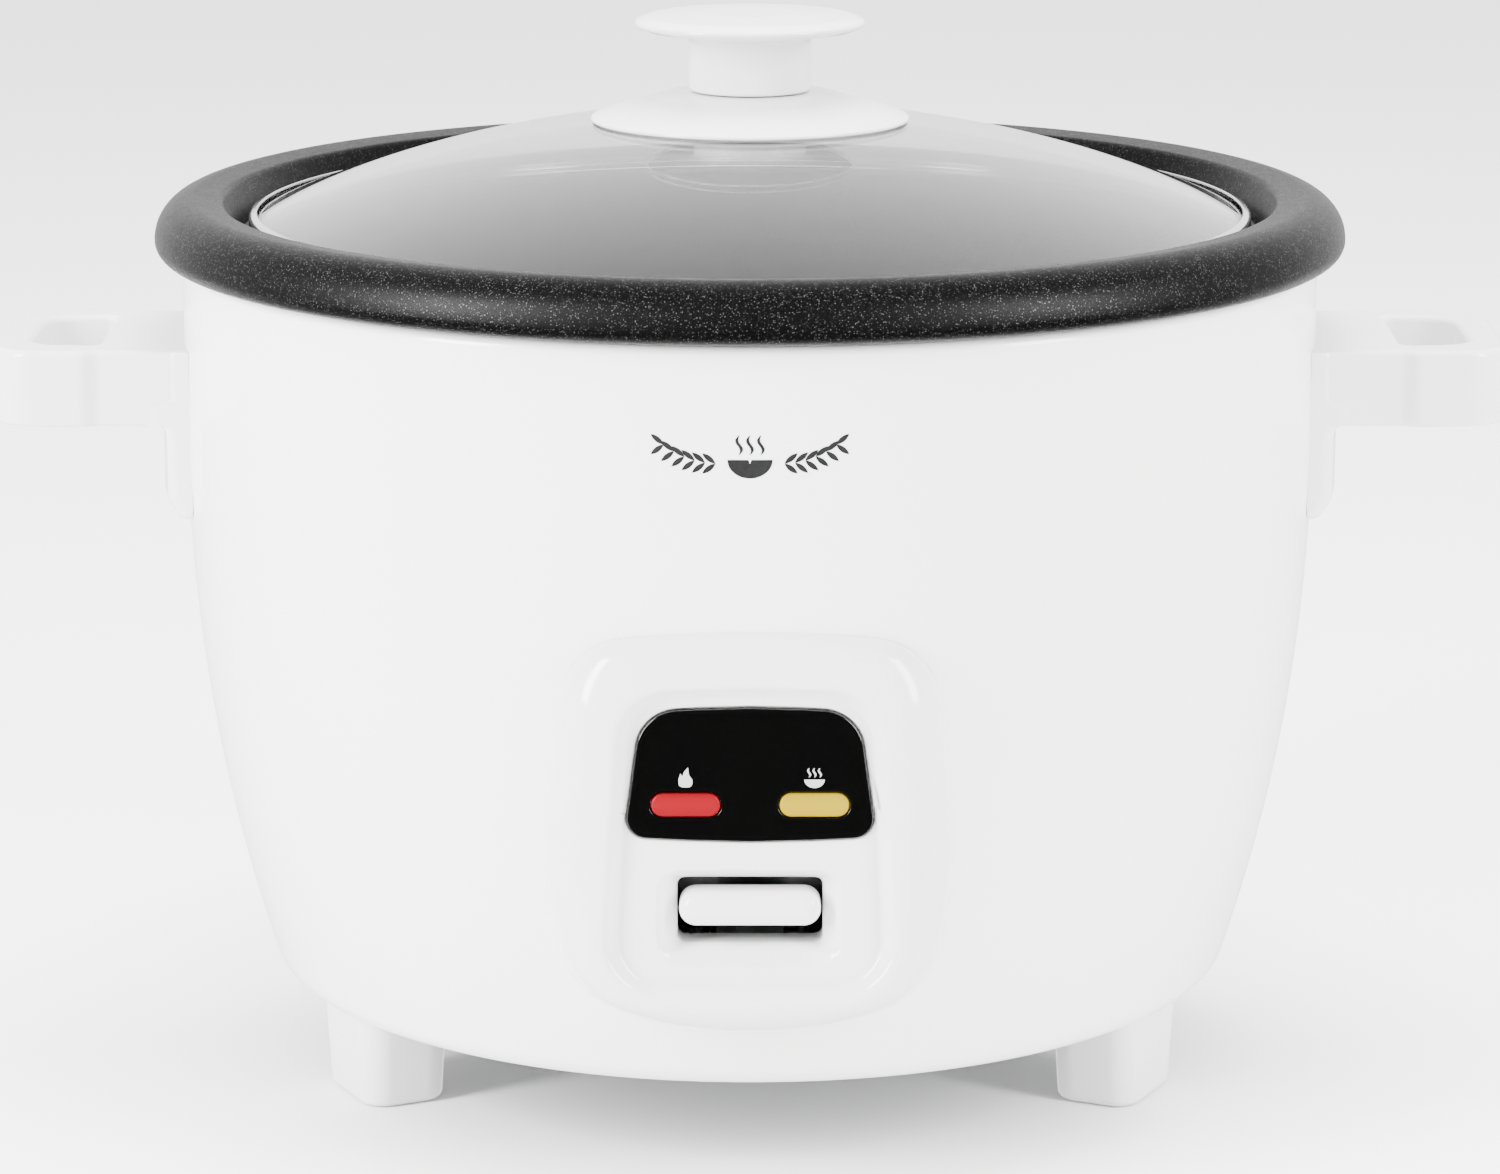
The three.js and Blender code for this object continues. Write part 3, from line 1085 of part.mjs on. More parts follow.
function addHandles() {
  add('handle_right', handle(1), WHITE_PLASTIC);
  add('handle_left', handle(-1), WHITE_PLASTIC);
  for (const [x, y, z] of handleScrewPlaces()) {
    const sign = Math.sign(x);
    const side = sign > 0 ? 'right' : 'left';
    const end = y < 0 ? 'front' : 'rear';
    const piece = screw(HANDLE_SCREW_LENGTH + SCREW_HEAD_HEIGHT).rotateY((sign * Math.PI) / 2);
    const headX = x - sign * (SCREW_HEAD_HEIGHT + 2 * GAP + 0.4);
    add(`handle_screw_${side}_${end}`, piece, ZINC_STEEL, [headX, y, z]);
  }
}

// ---- power inlet and wiring
function inletOutline(play) {
  return roundedRectangle(-INLET_HALF_WIDTH - play, INLET_HALF_WIDTH + play,
    INLET_Z - INLET_HALF_HEIGHT - play, INLET_Z + INLET_HALF_HEIGHT + play, 3 + play);
}

function addInlet() {
  const rearY = shellRadiusAt(INLET_Z) + INLET_PROUD;
  const frontY = rearY - INLET_LENGTH;
  const socket = facing(roundedRectangle(-SOCKET_HALF_WIDTH, SOCKET_HALF_WIDTH,
    INLET_Z - SOCKET_HALF_HEIGHT, INLET_Z + SOCKET_HALF_HEIGHT, 3), rearY - SOCKET_DEPTH, rearY + 1);
  const pinHoles = [-INLET_PIN_X, INLET_PIN_X].map((x) =>
    alongY(rod(INLET_PIN_RADIUS + GAP, -INLET_LENGTH, INLET_LENGTH, SCREW_ROUND))
      .translate(x, rearY, INLET_Z));
  add('inlet_housing', cut(facing(inletOutline(0), frontY, rearY), socket, ...pinHoles), BLACK_PLASTIC);
  const pinLow = frontY - INLET_PIN_BACK;
  const pinLength = rearY - INLET_PIN_SHORT - pinLow;
  for (const [side, x] of [['left', -INLET_PIN_X], ['right', INLET_PIN_X]]) {
    add(`inlet_pin_${side}`, alongY(turned([
      [0, 0], [INLET_PIN_RADIUS, 0], [INLET_PIN_RADIUS, pinLength - 1],
      [INLET_PIN_RADIUS - 1, pinLength], [0, pinLength],
    ], SCREW_ROUND)), BRASS, [x, pinLow, INLET_Z]);
  }
  return pinLow;
}

function addWires(pinLow) {
  const points = elementPoints();
  const tabEnd = ([x, y, z]) => [x, y, z - GAP - TAB_LENGTH - WIRE_END_GAP];
  const rightTab = tabEnd(points[0]);
  const leftTab = tabEnd(points.at(-1));
  const from = pinLow - WIRE_END_GAP;
  const switchRear = pivotY + SWITCH_BEHIND_PIVOT + SWITCH_LENGTH + WIRE_END_GAP;
  const low = basePlateZ + BASE_PLATE_THICKNESS + 5;
  const wireX = CHEEK_X + 14;
  add('wire_neutral', tube([
    [INLET_PIN_X, from, INLET_Z], [INLET_PIN_X, from - 8, INLET_Z - 2],
    [rightTab[0], rightTab[1] + 8, low + 2], [rightTab[0], rightTab[1], low + 4], rightTab,
  ], WIRE_RADIUS, 12, 5), WIRE_WHITE);
  add('wire_live', tube([
    [-INLET_PIN_X, from, INLET_Z], [-INLET_PIN_X, from - 8, INLET_Z - 4], [-4, 60, low],
    [wireX, 20, low], [wireX, -8, low + 6], [CHEEK_X - 5.4, -guideOutside - WIRE_CLEARANCE, switchLowZ() + 3],
    [CHEEK_X - 5.4, switchRear, switchLowZ() + 3],
  ], WIRE_RADIUS, 20, 5), WIRE_RED);
  add('wire_heater', tube([
    [CHEEK_X - 2, switchRear, switchLowZ() + 7], [CHEEK_X + 2, switchRear + 5, switchLowZ() + 6],
    [wireX + 8, -4, low + 12], [wireX + 6, 30, low + 8], [0, 48, low + 8],
    [leftTab[0], leftTab[1] + 2, low + 5], leftTab,
  ], WIRE_RADIUS, 20, 5), WIRE_RED);
}

addBase();
add('inner_liner', innerLiner(), ALUMINIUM);
add('inner_pot', innerPot(), NON_STICK);
addLid();
addHeater();
addSensor();
addFront();
addLever();
addHandles();
addWires(addInlet());

export default cooker;
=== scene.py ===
# The finished surfaces, materials, lights and camera of a rice cooker with a lift-out pot.
# Metres. +Z is up, the front faces -Y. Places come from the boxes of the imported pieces.
import math

import bmesh
import bpy
from mathutils import Matrix, Vector
from mathutils.geometry import tessellate_polygon


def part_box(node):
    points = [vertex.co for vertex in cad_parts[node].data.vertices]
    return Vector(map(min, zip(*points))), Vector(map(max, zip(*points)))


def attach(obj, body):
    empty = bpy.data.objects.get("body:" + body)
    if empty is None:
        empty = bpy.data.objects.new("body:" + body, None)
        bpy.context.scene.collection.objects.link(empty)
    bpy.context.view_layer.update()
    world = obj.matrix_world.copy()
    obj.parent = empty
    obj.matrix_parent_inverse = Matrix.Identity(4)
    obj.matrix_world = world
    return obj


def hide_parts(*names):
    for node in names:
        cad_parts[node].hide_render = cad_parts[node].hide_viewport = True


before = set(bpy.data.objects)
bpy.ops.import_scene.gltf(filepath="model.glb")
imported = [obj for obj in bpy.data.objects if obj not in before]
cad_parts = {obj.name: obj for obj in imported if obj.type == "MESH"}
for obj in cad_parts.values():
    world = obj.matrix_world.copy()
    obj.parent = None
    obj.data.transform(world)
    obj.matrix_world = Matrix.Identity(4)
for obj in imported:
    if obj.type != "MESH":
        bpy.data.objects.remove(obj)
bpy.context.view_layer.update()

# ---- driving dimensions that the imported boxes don't give
SHELL_WALL = 0.001
TAPER_START = 0.034               # below the top of the shell
BASE_TAPER = 0.0179
TAPER_POWER = 2.2
BASE_CORNER = 0.007
BASE_LEAN = math.radians(17.8)
TOP_CORNER = 0.002
POT_WALL = 0.0015
POT_CORNER = 0.025
POT_INSIDE_RIM = 0.0239           # pot's wall inside the widest part of the rim
RIM_CURL = 0.0035                 # lower edge of the rim
RIM_SHOULDER = 0.009              # how far in the rim's outer face rolls to its crest
RIM_LIP = 0.0007                  # the rim's lower lip over the top of the shell
LEDGE_GAP = 0.0003                # between the lid band and the ledge that it stands on
LINER_BORE = 0.066
LINER_FLANGE = 0.0118
LINER_WALL = 0.0008
LINER_CORNER = 0.030
DOME_SPHERE = 0.280
GLASS_THICKNESS = 0.003
GLASS_EDGE = 0.0012               # how far in the dome's edge is rounded
KNOB_STEM = 0.01366
KNOB_BORE = 0.0021                # hole for the knob's screw in skirt and washer
SCREW_SHANK = 0.0017
SCREW_HEAD = 0.0024
HANDLE_LOOP = 0.017               # height of the handle's loop
HANDLE_PAD = 0.005                # pad on the shell
WINDOW_HALF = 0.027               # opening in the shell behind the bezel
WINDOW_BOTTOM = 0.052
WINDOW_TOP = 0.104
INLET_HOLE = (0.0165, 0.0115)     # half width and half height
SLOT_HALF = 0.0150                # mouth of the lever's slot
SLOT_TOP = 0.0722
SLOT_BOTTOM = 0.0582
FIELD_DEPTH = 0.003               # sunk field of the bezel
MARK_LIFT = 0.00002               # ink's back over the face that it is printed on
AROUND = 256                      # facets round the large turned pieces
KNOB_AROUND = 160
SMALL_AROUND = 96
SLOT_POINTS = 160
SKY_FRONT = 0.4                   # strength of the sky's light in front
SKY_BACK = 3.2                    # and behind or above
MIRRORED_FRONT = 0.15             # what a glossy face mirrors of it in front
MIRRORED_BACK = 2.6               # and behind
CAMERA_PLACE = (0, -1.1997, 0.3747)
CAMERA_AIM = (0, 0, 0.1063)
CAMERA_LENS = 129.95
CAMERA_SENSOR = 36


def low(node):
    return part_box(node)[0]


def high(node):
    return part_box(node)[1]


def middle(node):
    return (low(node) + high(node)) / 2


shell_radius = high("outer_shell").x
shell_top = high("outer_shell").z
shell_bottom = low("outer_shell").z
taper_start_z = shell_top - TAPER_START
taper_end_z = shell_bottom + BASE_CORNER * (1 - math.sin(BASE_LEAN))
base_corner_radius = shell_radius - BASE_TAPER - BASE_CORNER * math.cos(BASE_LEAN)
rim_radius = high("inner_pot").x
rim_top = high("inner_pot").z
front_y = low("control_bezel").y


def shell_radius_at(z):
    """The shell's radius at a height of its side."""
    down = max(0.0, (taper_start_z - z) / (taper_start_z - taper_end_z))
    return shell_radius - BASE_TAPER * down**TAPER_POWER


def shell_y_at(x, z):
    """Where the front of the shell is at a place seen from the front."""
    return -math.sqrt(shell_radius_at(z) ** 2 - x * x)


# ---- node trees as Python expressions
class Field:
    """A socket that arithmetic acts on. Each operation adds a Math node."""

    def __init__(self, nodes, socket):
        self.nodes = nodes
        self.socket = socket

    def maths(self, operation, *values):
        settings = {"operation": operation}
        return self.nodes.node("ShaderNodeMath", settings, dict(enumerate(values)))

    def __add__(self, other):
        return self.maths("ADD", self, other)

    def __sub__(self, other):
        return self.maths("SUBTRACT", self, other)

    def __mul__(self, other):
        return self.maths("MULTIPLY", self, other)

    def __truediv__(self, other):
        return self.maths("DIVIDE", self, other)

    def __pow__(self, other):
        return self.maths("POWER", self, other)

    def __gt__(self, other):
        return self.maths("GREATER_THAN", self, other)

    def __lt__(self, other):
        return self.maths("LESS_THAN", self, other)

    def __radd__(self, other):
        return self.maths("ADD", other, self)

    def __rsub__(self, other):
        return self.maths("SUBTRACT", other, self)

    def __rmul__(self, other):
        return self.maths("MULTIPLY", other, self)

    def __rtruediv__(self, other):
        return self.maths("DIVIDE", other, self)

    def at_least(self, other):
        return self.maths("MAXIMUM", self, other)

    def at_most(self, other):
        return self.maths("MINIMUM", self, other)

    def sine(self):
        return self.maths("SINE", self)

    def cosine(self):
        return self.maths("COSINE", self)

    def root(self):
        return self.maths("SQRT", self)

    def angle_to(self, other):
        return self.maths("ARCTAN2", self, other)


class Nodes:
    """A node tree, with one method that adds any node."""

    def __init__(self, tree):
        self.tree = tree

    def feed(self, socket, value):
        if isinstance(value, Field):
            self.tree.links.new(value.socket, socket)
        else:
            socket.default_value = value

    def node(self, kind, settings=None, sockets=None, output=0):
        """Adds a node: its settings first, then the values or links of its sockets."""
        made = self.tree.nodes.new(kind)
        for name, value in (settings or {}).items():
            if name == "stops":
                ramp = made.color_ramp
                while len(ramp.elements) < len(value):
                    ramp.elements.new(1)
                for element, (place, colour) in zip(ramp.elements, value):
                    element.position = place
                    element.color = colour
            else:
                setattr(made, name, value)
        for name, value in (sockets or {}).items():
            self.feed(made.inputs[name], value)
        return Field(self, made.outputs[output])

    def parts(self, vector):
        """The three numbers of a vector."""
        split = self.node("ShaderNodeSeparateXYZ", {}, {0: vector}).socket.node
        return [Field(self, socket) for socket in split.outputs]

    def vector(self, x, y, z):
        return self.node("ShaderNodeCombineXYZ", {}, {0: x, 1: y, 2: z})


class Finish(Nodes):
    """A material with one Principled surface."""

    def __init__(self, name, **constants):
        self.material = bpy.data.materials.new(name)
        self.material.use_nodes = True
        super().__init__(self.material.node_tree)
        self.surface = self.tree.nodes["Principled BSDF"]
        self.set(**constants)

    def set(self, **values):
        """Sets the surface's sockets. A socket's name is written with _ for each space."""
        for name, value in values.items():
            self.feed(self.surface.inputs[name.replace("_", " ")], value)

    def place(self):
        return self.node("ShaderNodeTexCoord", {}, {}, "Object")

    def stretched(self, x, y, z):
        """Object coordinates, scaled along each axis."""
        settings = {"operation": "MULTIPLY"}
        return self.node("ShaderNodeVectorMath", settings, {0: self.place(), 1: (x, y, z)})

    def noise(self, scale, detail=2, roughness=0.5, where=None):
        where = where or self.place()
        sockets = {"Vector": where, "Scale": scale, "Detail": detail, "Roughness": roughness}
        return self.node("ShaderNodeTexNoise", {}, sockets)

    def cells(self, scale, feature="F1", output="Distance", where=None):
        sockets = {"Vector": where or self.place(), "Scale": scale}
        return self.node("ShaderNodeTexVoronoi", {"feature": feature}, sockets, output)

    def ramp(self, value, *stops):
        """A grey ramp through (place, brightness) stops."""
        settings = {"stops": [(place, (grey, grey, grey, 1)) for place, grey in stops]}
        return self.node("ShaderNodeValToRGB", settings, {0: value})

    def mix(self, share, first, second):
        """Two colours, from the first to the second."""
        settings = {"data_type": "RGBA"}
        return self.node("ShaderNodeMix", settings, {0: share, 6: first, 7: second}, 2)

    def bump(self, height, distance, strength=1.0):
        """Raises the surface by up to a distance where the height is 1."""
        sockets = {"Height": height, "Distance": distance, "Strength": strength}
        self.set(Normal=self.node("ShaderNodeBump", {}, sockets))

    def turn_lines(self, scale, depth=0.0):
        """Fine noise drawn out round the Z axis, as on a spun or brushed piece."""
        x, y, z = self.parts(self.place())
        radius = (x * x + y * y).root()
        rings = self.vector(radius * scale, y.angle_to(x) * 1.5, z * scale + depth)
        return self.noise(1.0, 3, 0.6, rings)


def colour(red, green=None, blue=None):
    """A linear colour from three numbers, or a grey from one."""
    green = red if green is None else green
    blue = red if blue is None else blue
    return (red, green, blue, 1)


# ---- finishes
def white_paint():
    """Gloss enamel on steel: faint orange peel, a little cloudiness in the gloss."""
    paint = Finish("white_paint", Coat_Weight=0.35, Coat_Roughness=0.06, IOR=1.5)
    cloud = paint.noise(14, 3)
    paint.set(Base_Color=paint.mix(cloud, colour(0.86, 0.86, 0.85), colour(0.885, 0.885, 0.88)))
    paint.set(Roughness=paint.noise(60, 4) * 0.1 + 0.17)
    paint.bump(paint.noise(420, 2), 0.00002, 0.35)
    return paint.material


def white_plastic():
    """Gloss moulded plastic: slightly softer than the paint, with faint flow marks."""
    plastic = Finish("white_plastic", IOR=1.49)
    flow = plastic.noise(1, 3, 0.5, plastic.stretched(30, 30, 90))
    plastic.set(Base_Color=plastic.mix(flow, colour(0.70, 0.70, 0.697), colour(0.74, 0.74, 0.737)))
    plastic.set(Roughness=plastic.noise(300, 3) * 0.06 + 0.1)
    plastic.bump(plastic.noise(900, 2), 0.00001, 0.3)
    return plastic.material


def non_stick():
    """Black coating with a dense, fine metallic fleck that sparkles where the light falls."""
    coat = Finish("non_stick", IOR=1.45, Specular_IOR_Level=0.13)
    tint = coat.parts(coat.cells(3400, output="Color"))
    core = coat.cells(3400) < 0.5
    dust = coat.parts(coat.cells(6400, output="Color"))[1] ** 6
    fleck = (tint[0] ** 9 * core + dust * 0.05).at_most(1.0)
    coat.set(Base_Color=coat.mix(fleck, colour(0.0005, 0.0005, 0.0005), colour(0.06, 0.06, 0.061)))
    coat.set(Metallic=fleck * 0.35)
    coat.set(Roughness=0.4 + coat.noise(500, 2) * 0.08 - fleck * 0.1)
    grain = coat.noise(1500, 2) + tint[2] * 0.6
    coat.bump(grain, 0.00004, 0.5)
    return coat.material


def spun_aluminium():
    """Satin aluminium with fine turning lines and the faint stains of use."""
    metal = Finish("spun_aluminium", Metallic=1.0)
    lines = metal.turn_lines(2600)
    stain = metal.ramp(metal.noise(35, 5, 0.6), (0.35, 0), (0.75, 1))
    metal.set(Base_Color=metal.mix(stain, colour(0.62, 0.62, 0.63), colour(0.5, 0.49, 0.475)))
    metal.set(Roughness=lines * 0.2 + 0.26)
    metal.bump(lines, 0.00003, 0.4)
    return metal.material


def cast_aluminium():
    """The heating plate: a turned face with a brown heat tint towards its edge."""
    metal = Finish("cast_aluminium", Metallic=1.0)
    lines = metal.turn_lines(1800)
    heat = metal.ramp(metal.noise(22, 4, 0.6), (0.4, 0), (0.8, 1))
    metal.set(Base_Color=metal.mix(heat, colour(0.56, 0.56, 0.57), colour(0.4, 0.37, 0.33)))
    metal.set(Roughness=lines * 0.25 + 0.3)
    metal.bump(lines + metal.noise(700, 3) * 0.5, 0.00005, 0.45)
    return metal.material


def polished_steel():
    """Bright steel with hairlines that run round the lid."""
    metal = Finish("polished_steel", Metallic=1.0)
    lines = metal.turn_lines(5200)
    metal.set(Base_Color=metal.mix(lines, colour(0.7, 0.7, 0.71), colour(0.8, 0.8, 0.81)))
    metal.set(Roughness=lines * 0.12 + 0.08)
    metal.bump(lines, 0.00001, 0.3)
    return metal.material


def zinc_steel():
    """Zinc-plated sheet: large faint spangles and a dull bloom."""
    metal = Finish("zinc_steel", Metallic=1.0)
    spangle = metal.parts(metal.cells(140, output="Color"))[0]
    bloom = metal.noise(40, 4)
    base = metal.mix(spangle, colour(0.44, 0.45, 0.46), colour(0.58, 0.59, 0.6))
    metal.set(Base_Color=metal.mix(bloom * 0.3, base, colour(0.66, 0.66, 0.64)))
    metal.set(Roughness=0.3 + spangle * 0.12 + bloom * 0.12)
    metal.bump(metal.noise(600, 3), 0.00003, 0.3)
    return metal.material


def black_gloss():
    """The indicator panel: deep black with barely seen dust in its gloss."""
    panel = Finish("black_gloss", Coat_Weight=0.1, Coat_Roughness=0.03, IOR=1.4)
    dust = panel.ramp(panel.noise(700, 4, 0.7), (0.62, 0), (0.8, 1))
    panel.set(Base_Color=panel.mix(dust, colour(0.0004), colour(0.0012)))
    panel.set(Roughness=0.1 + dust * 0.15 + panel.noise(20, 2) * 0.05)
    panel.bump(panel.noise(60, 2), 0.00001, 0.2)
    return panel.material


def black_plastic():
    """Satin moulded thermoset: fine grain."""
    plastic = Finish("black_plastic", IOR=1.5)
    grain = plastic.noise(1500, 3)
    plastic.set(Base_Color=plastic.mix(plastic.noise(50, 3), colour(0.018), colour(0.034)))
    plastic.set(Roughness=grain * 0.2 + 0.36)
    plastic.bump(grain, 0.00004, 0.5)
    return plastic.material


def lens_plastic(name, deep, bright):
    """A translucent lens: a painted glow makes it a little brighter along its middle, with faint
    moulding clouds.
    """
    lens = Finish(name, IOR=1.4, Specular_IOR_Level=0.15)
    _, _, z = lens.parts(lens.place())
    from_middle = (z - middle("cook_lens").z).maths("ABSOLUTE", z - middle("cook_lens").z)
    # painted glow: the colour is lighter along the lens's middle height, painted in rather than lit
    painted_glow = (1 - from_middle * 400).at_least(0.0)
    cloud = lens.noise(90, 2)
    lens.set(Base_Color=lens.mix(painted_glow * 0.7 + cloud * 0.3, deep, bright))
    lens.set(Roughness=0.3 + cloud * 0.1)
    lens.bump(cloud, 0.00001, 0.2)
    return lens.material


def clear_glass():
    """Tempered glass: clear, with the faintest smears of wiping."""
    glass = Finish("lid_glass", IOR=1.52, Transmission_Weight=1.0)
    smear = glass.noise(1, 4, 0.6, glass.stretched(14, 50, 50))
    glass.set(Base_Color=glass.mix(smear, colour(0.965, 0.975, 0.972), colour(0.985, 0.99, 0.988)))
    glass.set(Roughness=glass.ramp(smear, (0.45, 0.0), (0.8, 0.035)))
    return glass.material


def lamp_glass():
    """The clear bulb of a small neon lamp."""
    glass = Finish("lamp_glass", IOR=1.5, Transmission_Weight=0.8)
    cloud = glass.noise(300, 2)
    glass.set(Base_Color=glass.mix(cloud, colour(0.9, 0.8, 0.7), colour(0.95, 0.9, 0.85)))
    glass.set(Roughness=cloud * 0.1 + 0.04)
    return glass.material


def brass():
    """Bright pressed brass with a light tarnish."""
    metal = Finish("brass", Metallic=1.0)
    tarnish = metal.ramp(metal.noise(240, 4, 0.6), (0.45, 0), (0.8, 1))
    metal.set(Base_Color=metal.mix(tarnish, colour(0.72, 0.52, 0.22), colour(0.42, 0.29, 0.13)))
    metal.set(Roughness=0.22 + tarnish * 0.25)
    metal.bump(metal.noise(1200, 2), 0.00002, 0.3)
    return metal.material


def ceramic():
    """Unglazed ceramic: chalky and slightly pitted."""
    clay = Finish("ceramic", IOR=1.5)
    pits = clay.ramp(clay.noise(900, 3), (0.3, 0), (0.5, 1))
    cloud = clay.noise(120, 4)
    clay.set(Base_Color=clay.mix(cloud, colour(0.6, 0.56, 0.48), colour(0.76, 0.72, 0.64)))
    clay.set(Roughness=0.85 - pits * 0.15)
    clay.bump(pits, 0.00006, 0.5)
    return clay.material


def ferrite():
    """Ground ferrite: dark grey with grinding lines."""
    stone = Finish("ferrite", Metallic=0.4)
    lines = stone.noise(1, 3, 0.5, stone.stretched(150, 2500, 400))
    stone.set(Base_Color=stone.mix(lines, colour(0.03, 0.03, 0.034), colour(0.075, 0.075, 0.08)))
    stone.set(Roughness=lines * 0.2 + 0.4)
    stone.bump(lines, 0.00003, 0.4)
    return stone.material


def soft_sheath(name, deep, bright):
    """Silicone rubber: matt, with a powdery bloom."""
    rubber = Finish(name, IOR=1.43)
    bloom = rubber.noise(180, 4)
    rubber.set(Base_Color=rubber.mix(bloom, deep, bright))
    rubber.set(Roughness=bloom * 0.2 + 0.55)
    rubber.bump(rubber.noise(900, 3), 0.00003, 0.4)
    return rubber.material


def ink(name, shade):
    """Pad-printed ink: a flat tone that breaks up slightly at the size of its film."""
    print_film = Finish(name, IOR=1.5)
    speck = print_film.noise(1600, 3)
    thin = colour(*(min(1, part * 1.15 + 0.01) for part in shade))
    print_film.set(Base_Color=print_film.mix(speck, colour(*shade), thin))
    print_film.set(Roughness=speck * 0.15 + 0.35)
    print_film.bump(speck, 0.00001, 0.3)
    return print_film.material


FINISHES = {
    "white_paint": white_paint(),
    "white_plastic": white_plastic(),
    "non_stick": non_stick(),
    "bare_aluminium": spun_aluminium(),
    "heating_aluminium": cast_aluminium(),
    "polished_steel": polished_steel(),
    "zinc_steel": zinc_steel(),
    "black_gloss": black_gloss(),
    "black_plastic": black_plastic(),
    "red_lens": lens_plastic("red_lens", colour(0.13, 0.0004, 0.0035), colour(0.17, 0.0006, 0.005)),
    "yellow_lens": lens_plastic("yellow_lens", colour(0.23, 0.155, 0.0), colour(0.28, 0.2, 0.0)),
    "lid_glass": clear_glass(),
    "lamp_glass": lamp_glass(),
    "brass": brass(),
    "ceramic": ceramic(),
    "ferrite": ferrite(),
    "silicone": soft_sheath("silicone", colour(0.56, 0.55, 0.53), colour(0.7, 0.69, 0.67)),
    "wire_red": soft_sheath("wire_red", colour(0.34, 0.03, 0.02), colour(0.5, 0.06, 0.04)),
    "wire_white": soft_sheath("wire_white", colour(0.62, 0.62, 0.6), colour(0.76, 0.76, 0.74)),
    "white_ink": ink("white_ink", (0.35, 0.35, 0.35)),
    "dark_ink": ink("dark_ink", (0.004, 0.004, 0.0043)),
}


# ---- shapes
def rounded(corners, closed=True, step=math.radians(7)):
    """An outline through corners (a, b, radius), each one turned into an arc of its radius."""
    points = []
    last = len(corners) - 1
    for i, (a, b, radius) in enumerate(corners):
        here = Vector((a, b))
        if radius <= 0 or (not closed and i in (0, last)):
            points.append(here)
            continue
        into = here - Vector(corners[i - 1][:2])
        out = Vector(corners[(i + 1) % len(corners)][:2]) - here
        longest = 0.49 * min(into.length, out.length)
        into.normalize()
        out.normalize()
        turn = math.atan2(into.x * out.y - into.y * out.x, into.dot(out))
        if abs(turn) < 1e-4:
            points.append(here)
            continue
        slope = math.tan(abs(turn) / 2)
        reach = min(radius * slope, longest)
        side = math.copysign(reach / slope, turn)
        start = here - into * reach
        centre = start + Vector((-into.y, into.x)) * side
        count = max(2, math.ceil(abs(turn) / step))
        for k in range(count + 1):
            points.append(centre + Matrix.Rotation(turn * k / count, 2) @ (start - centre))
    return [point for i, point in enumerate(points)
            if (i == 0 and not closed) or (point - points[i - 1]).length > 2e-6]


def grown(points, distance):
    """A closed outline, drawn anticlockwise, moved outwards along its normals."""
    count = len(points)
    moved = []
    for i, here in enumerate(points):
        into = (here - points[i - 1]).normalized()
        out = (points[(i + 1) % count] - here).normalized()
        side = Vector((into.y + out.y, -into.x - out.x))
        if side.length < 1e-6:
            moved.append(here.copy())
            continue
        side.normalize()
        moved.append(here + side * distance / max(0.5, side.dot(Vector((into.y, -into.x)))))
    return moved


def mirrored(corners):
    """Corners on the side of positive a, from top to bottom, with their mirror images added."""
    return [*corners, *[(-a, b, radius) for a, b, radius in reversed(corners) if a > 1e-9]]


def round_stroke(steps, depth):
    """(down, in) pairs of a quarter round from a side to a face."""
    angles = [math.pi / 2 * k / steps for k in range(steps + 1)]
    return [(depth * (1 - math.sin(angle)), depth * (1 - math.cos(angle))) for angle in angles]


class Surface:
    """Collects rings of points and the faces between them, then makes one mesh object."""

    def __init__(self):
        self.points = []
        self.faces = []

    def ring(self, points):
        first = len(self.points)
        self.points.extend(Vector(point) for point in points)
        return list(range(first, len(self.points)))

    def bridge(self, one, other, closed=True):
        count = len(one)
        for i in range(count if closed else count - 1):
            j = (i + 1) % count
            self.faces.append((one[i], one[j], other[j], other[i]))

    def bridges(self, rings, closed=True):
        for one, other in zip(rings, rings[1:]):
            self.bridge(one, other, closed)

    def fan(self, ring, tip):
        for i, corner in enumerate(ring):
            self.faces.append((corner, ring[(i + 1) % len(ring)], tip))

    def fill(self, *loops):
        """A flat face inside the first loop, with the other loops left open."""
        order = [index for loop in loops for index in loop]
        for face in tessellate_polygon([[self.points[i] for i in loop] for loop in loops]):
            self.faces.append(tuple(order[i] for i in face))

    def make(self, name, finish, facing=None, sharp=38):
        """Makes the object. Faces are turned outwards, or towards a direction on an open sheet."""
        mesh = bpy.data.meshes.new(name)
        mesh.from_pydata(self.points, [], self.faces)
        shape = bmesh.new()
        shape.from_mesh(mesh)
        bmesh.ops.remove_doubles(shape, verts=shape.verts, dist=1e-7)
        bmesh.ops.dissolve_degenerate(shape, edges=shape.edges, dist=1e-8)
        bmesh.ops.recalc_face_normals(shape, faces=shape.faces)
        if facing:
            outwards = sum(f.normal.dot(Vector(facing)) * f.calc_area() for f in shape.faces)
        else:
            outwards = shape.calc_volume(signed=True)
        if outwards < 0:
            bmesh.ops.reverse_faces(shape, faces=shape.faces)
        shape.to_mesh(mesh)
        shape.free()
        return dressed(name, mesh, finish, sharp)


def dressed(name, mesh, finish, sharp=38):
    """An object of a mesh, smooth but for its edges, with one finish."""
    mesh.shade_smooth()
    mesh.set_sharp_from_angle(angle=math.radians(sharp))
    mesh.materials.clear()
    mesh.materials.append(FINISHES[finish])
    piece = bpy.data.objects.new(name, mesh)
    bpy.context.scene.collection.objects.link(piece)
    return piece


def even_normals(piece):
    """Keeps large flat faces flat beside small rounded edges."""
    weighted = piece.modifiers.new("even_normals", "WEIGHTED_NORMAL")
    weighted.keep_sharp = True
    weighted.weight = 90
    return piece


def applied(piece, name=None):
    """The piece with its modifiers made into a plain mesh."""
    view = bpy.context.evaluated_depsgraph_get()
    mesh = bpy.data.meshes.new_from_object(piece.evaluated_get(view))
    finish = piece.data.materials[0] if piece.data.materials else None
    old_name = piece.name
    bpy.data.objects.remove(piece)
    made = bpy.data.objects.new(name or old_name, mesh)
    if finish and not mesh.materials:
        mesh.materials.append(finish)
    bpy.context.scene.collection.objects.link(made)
    return made


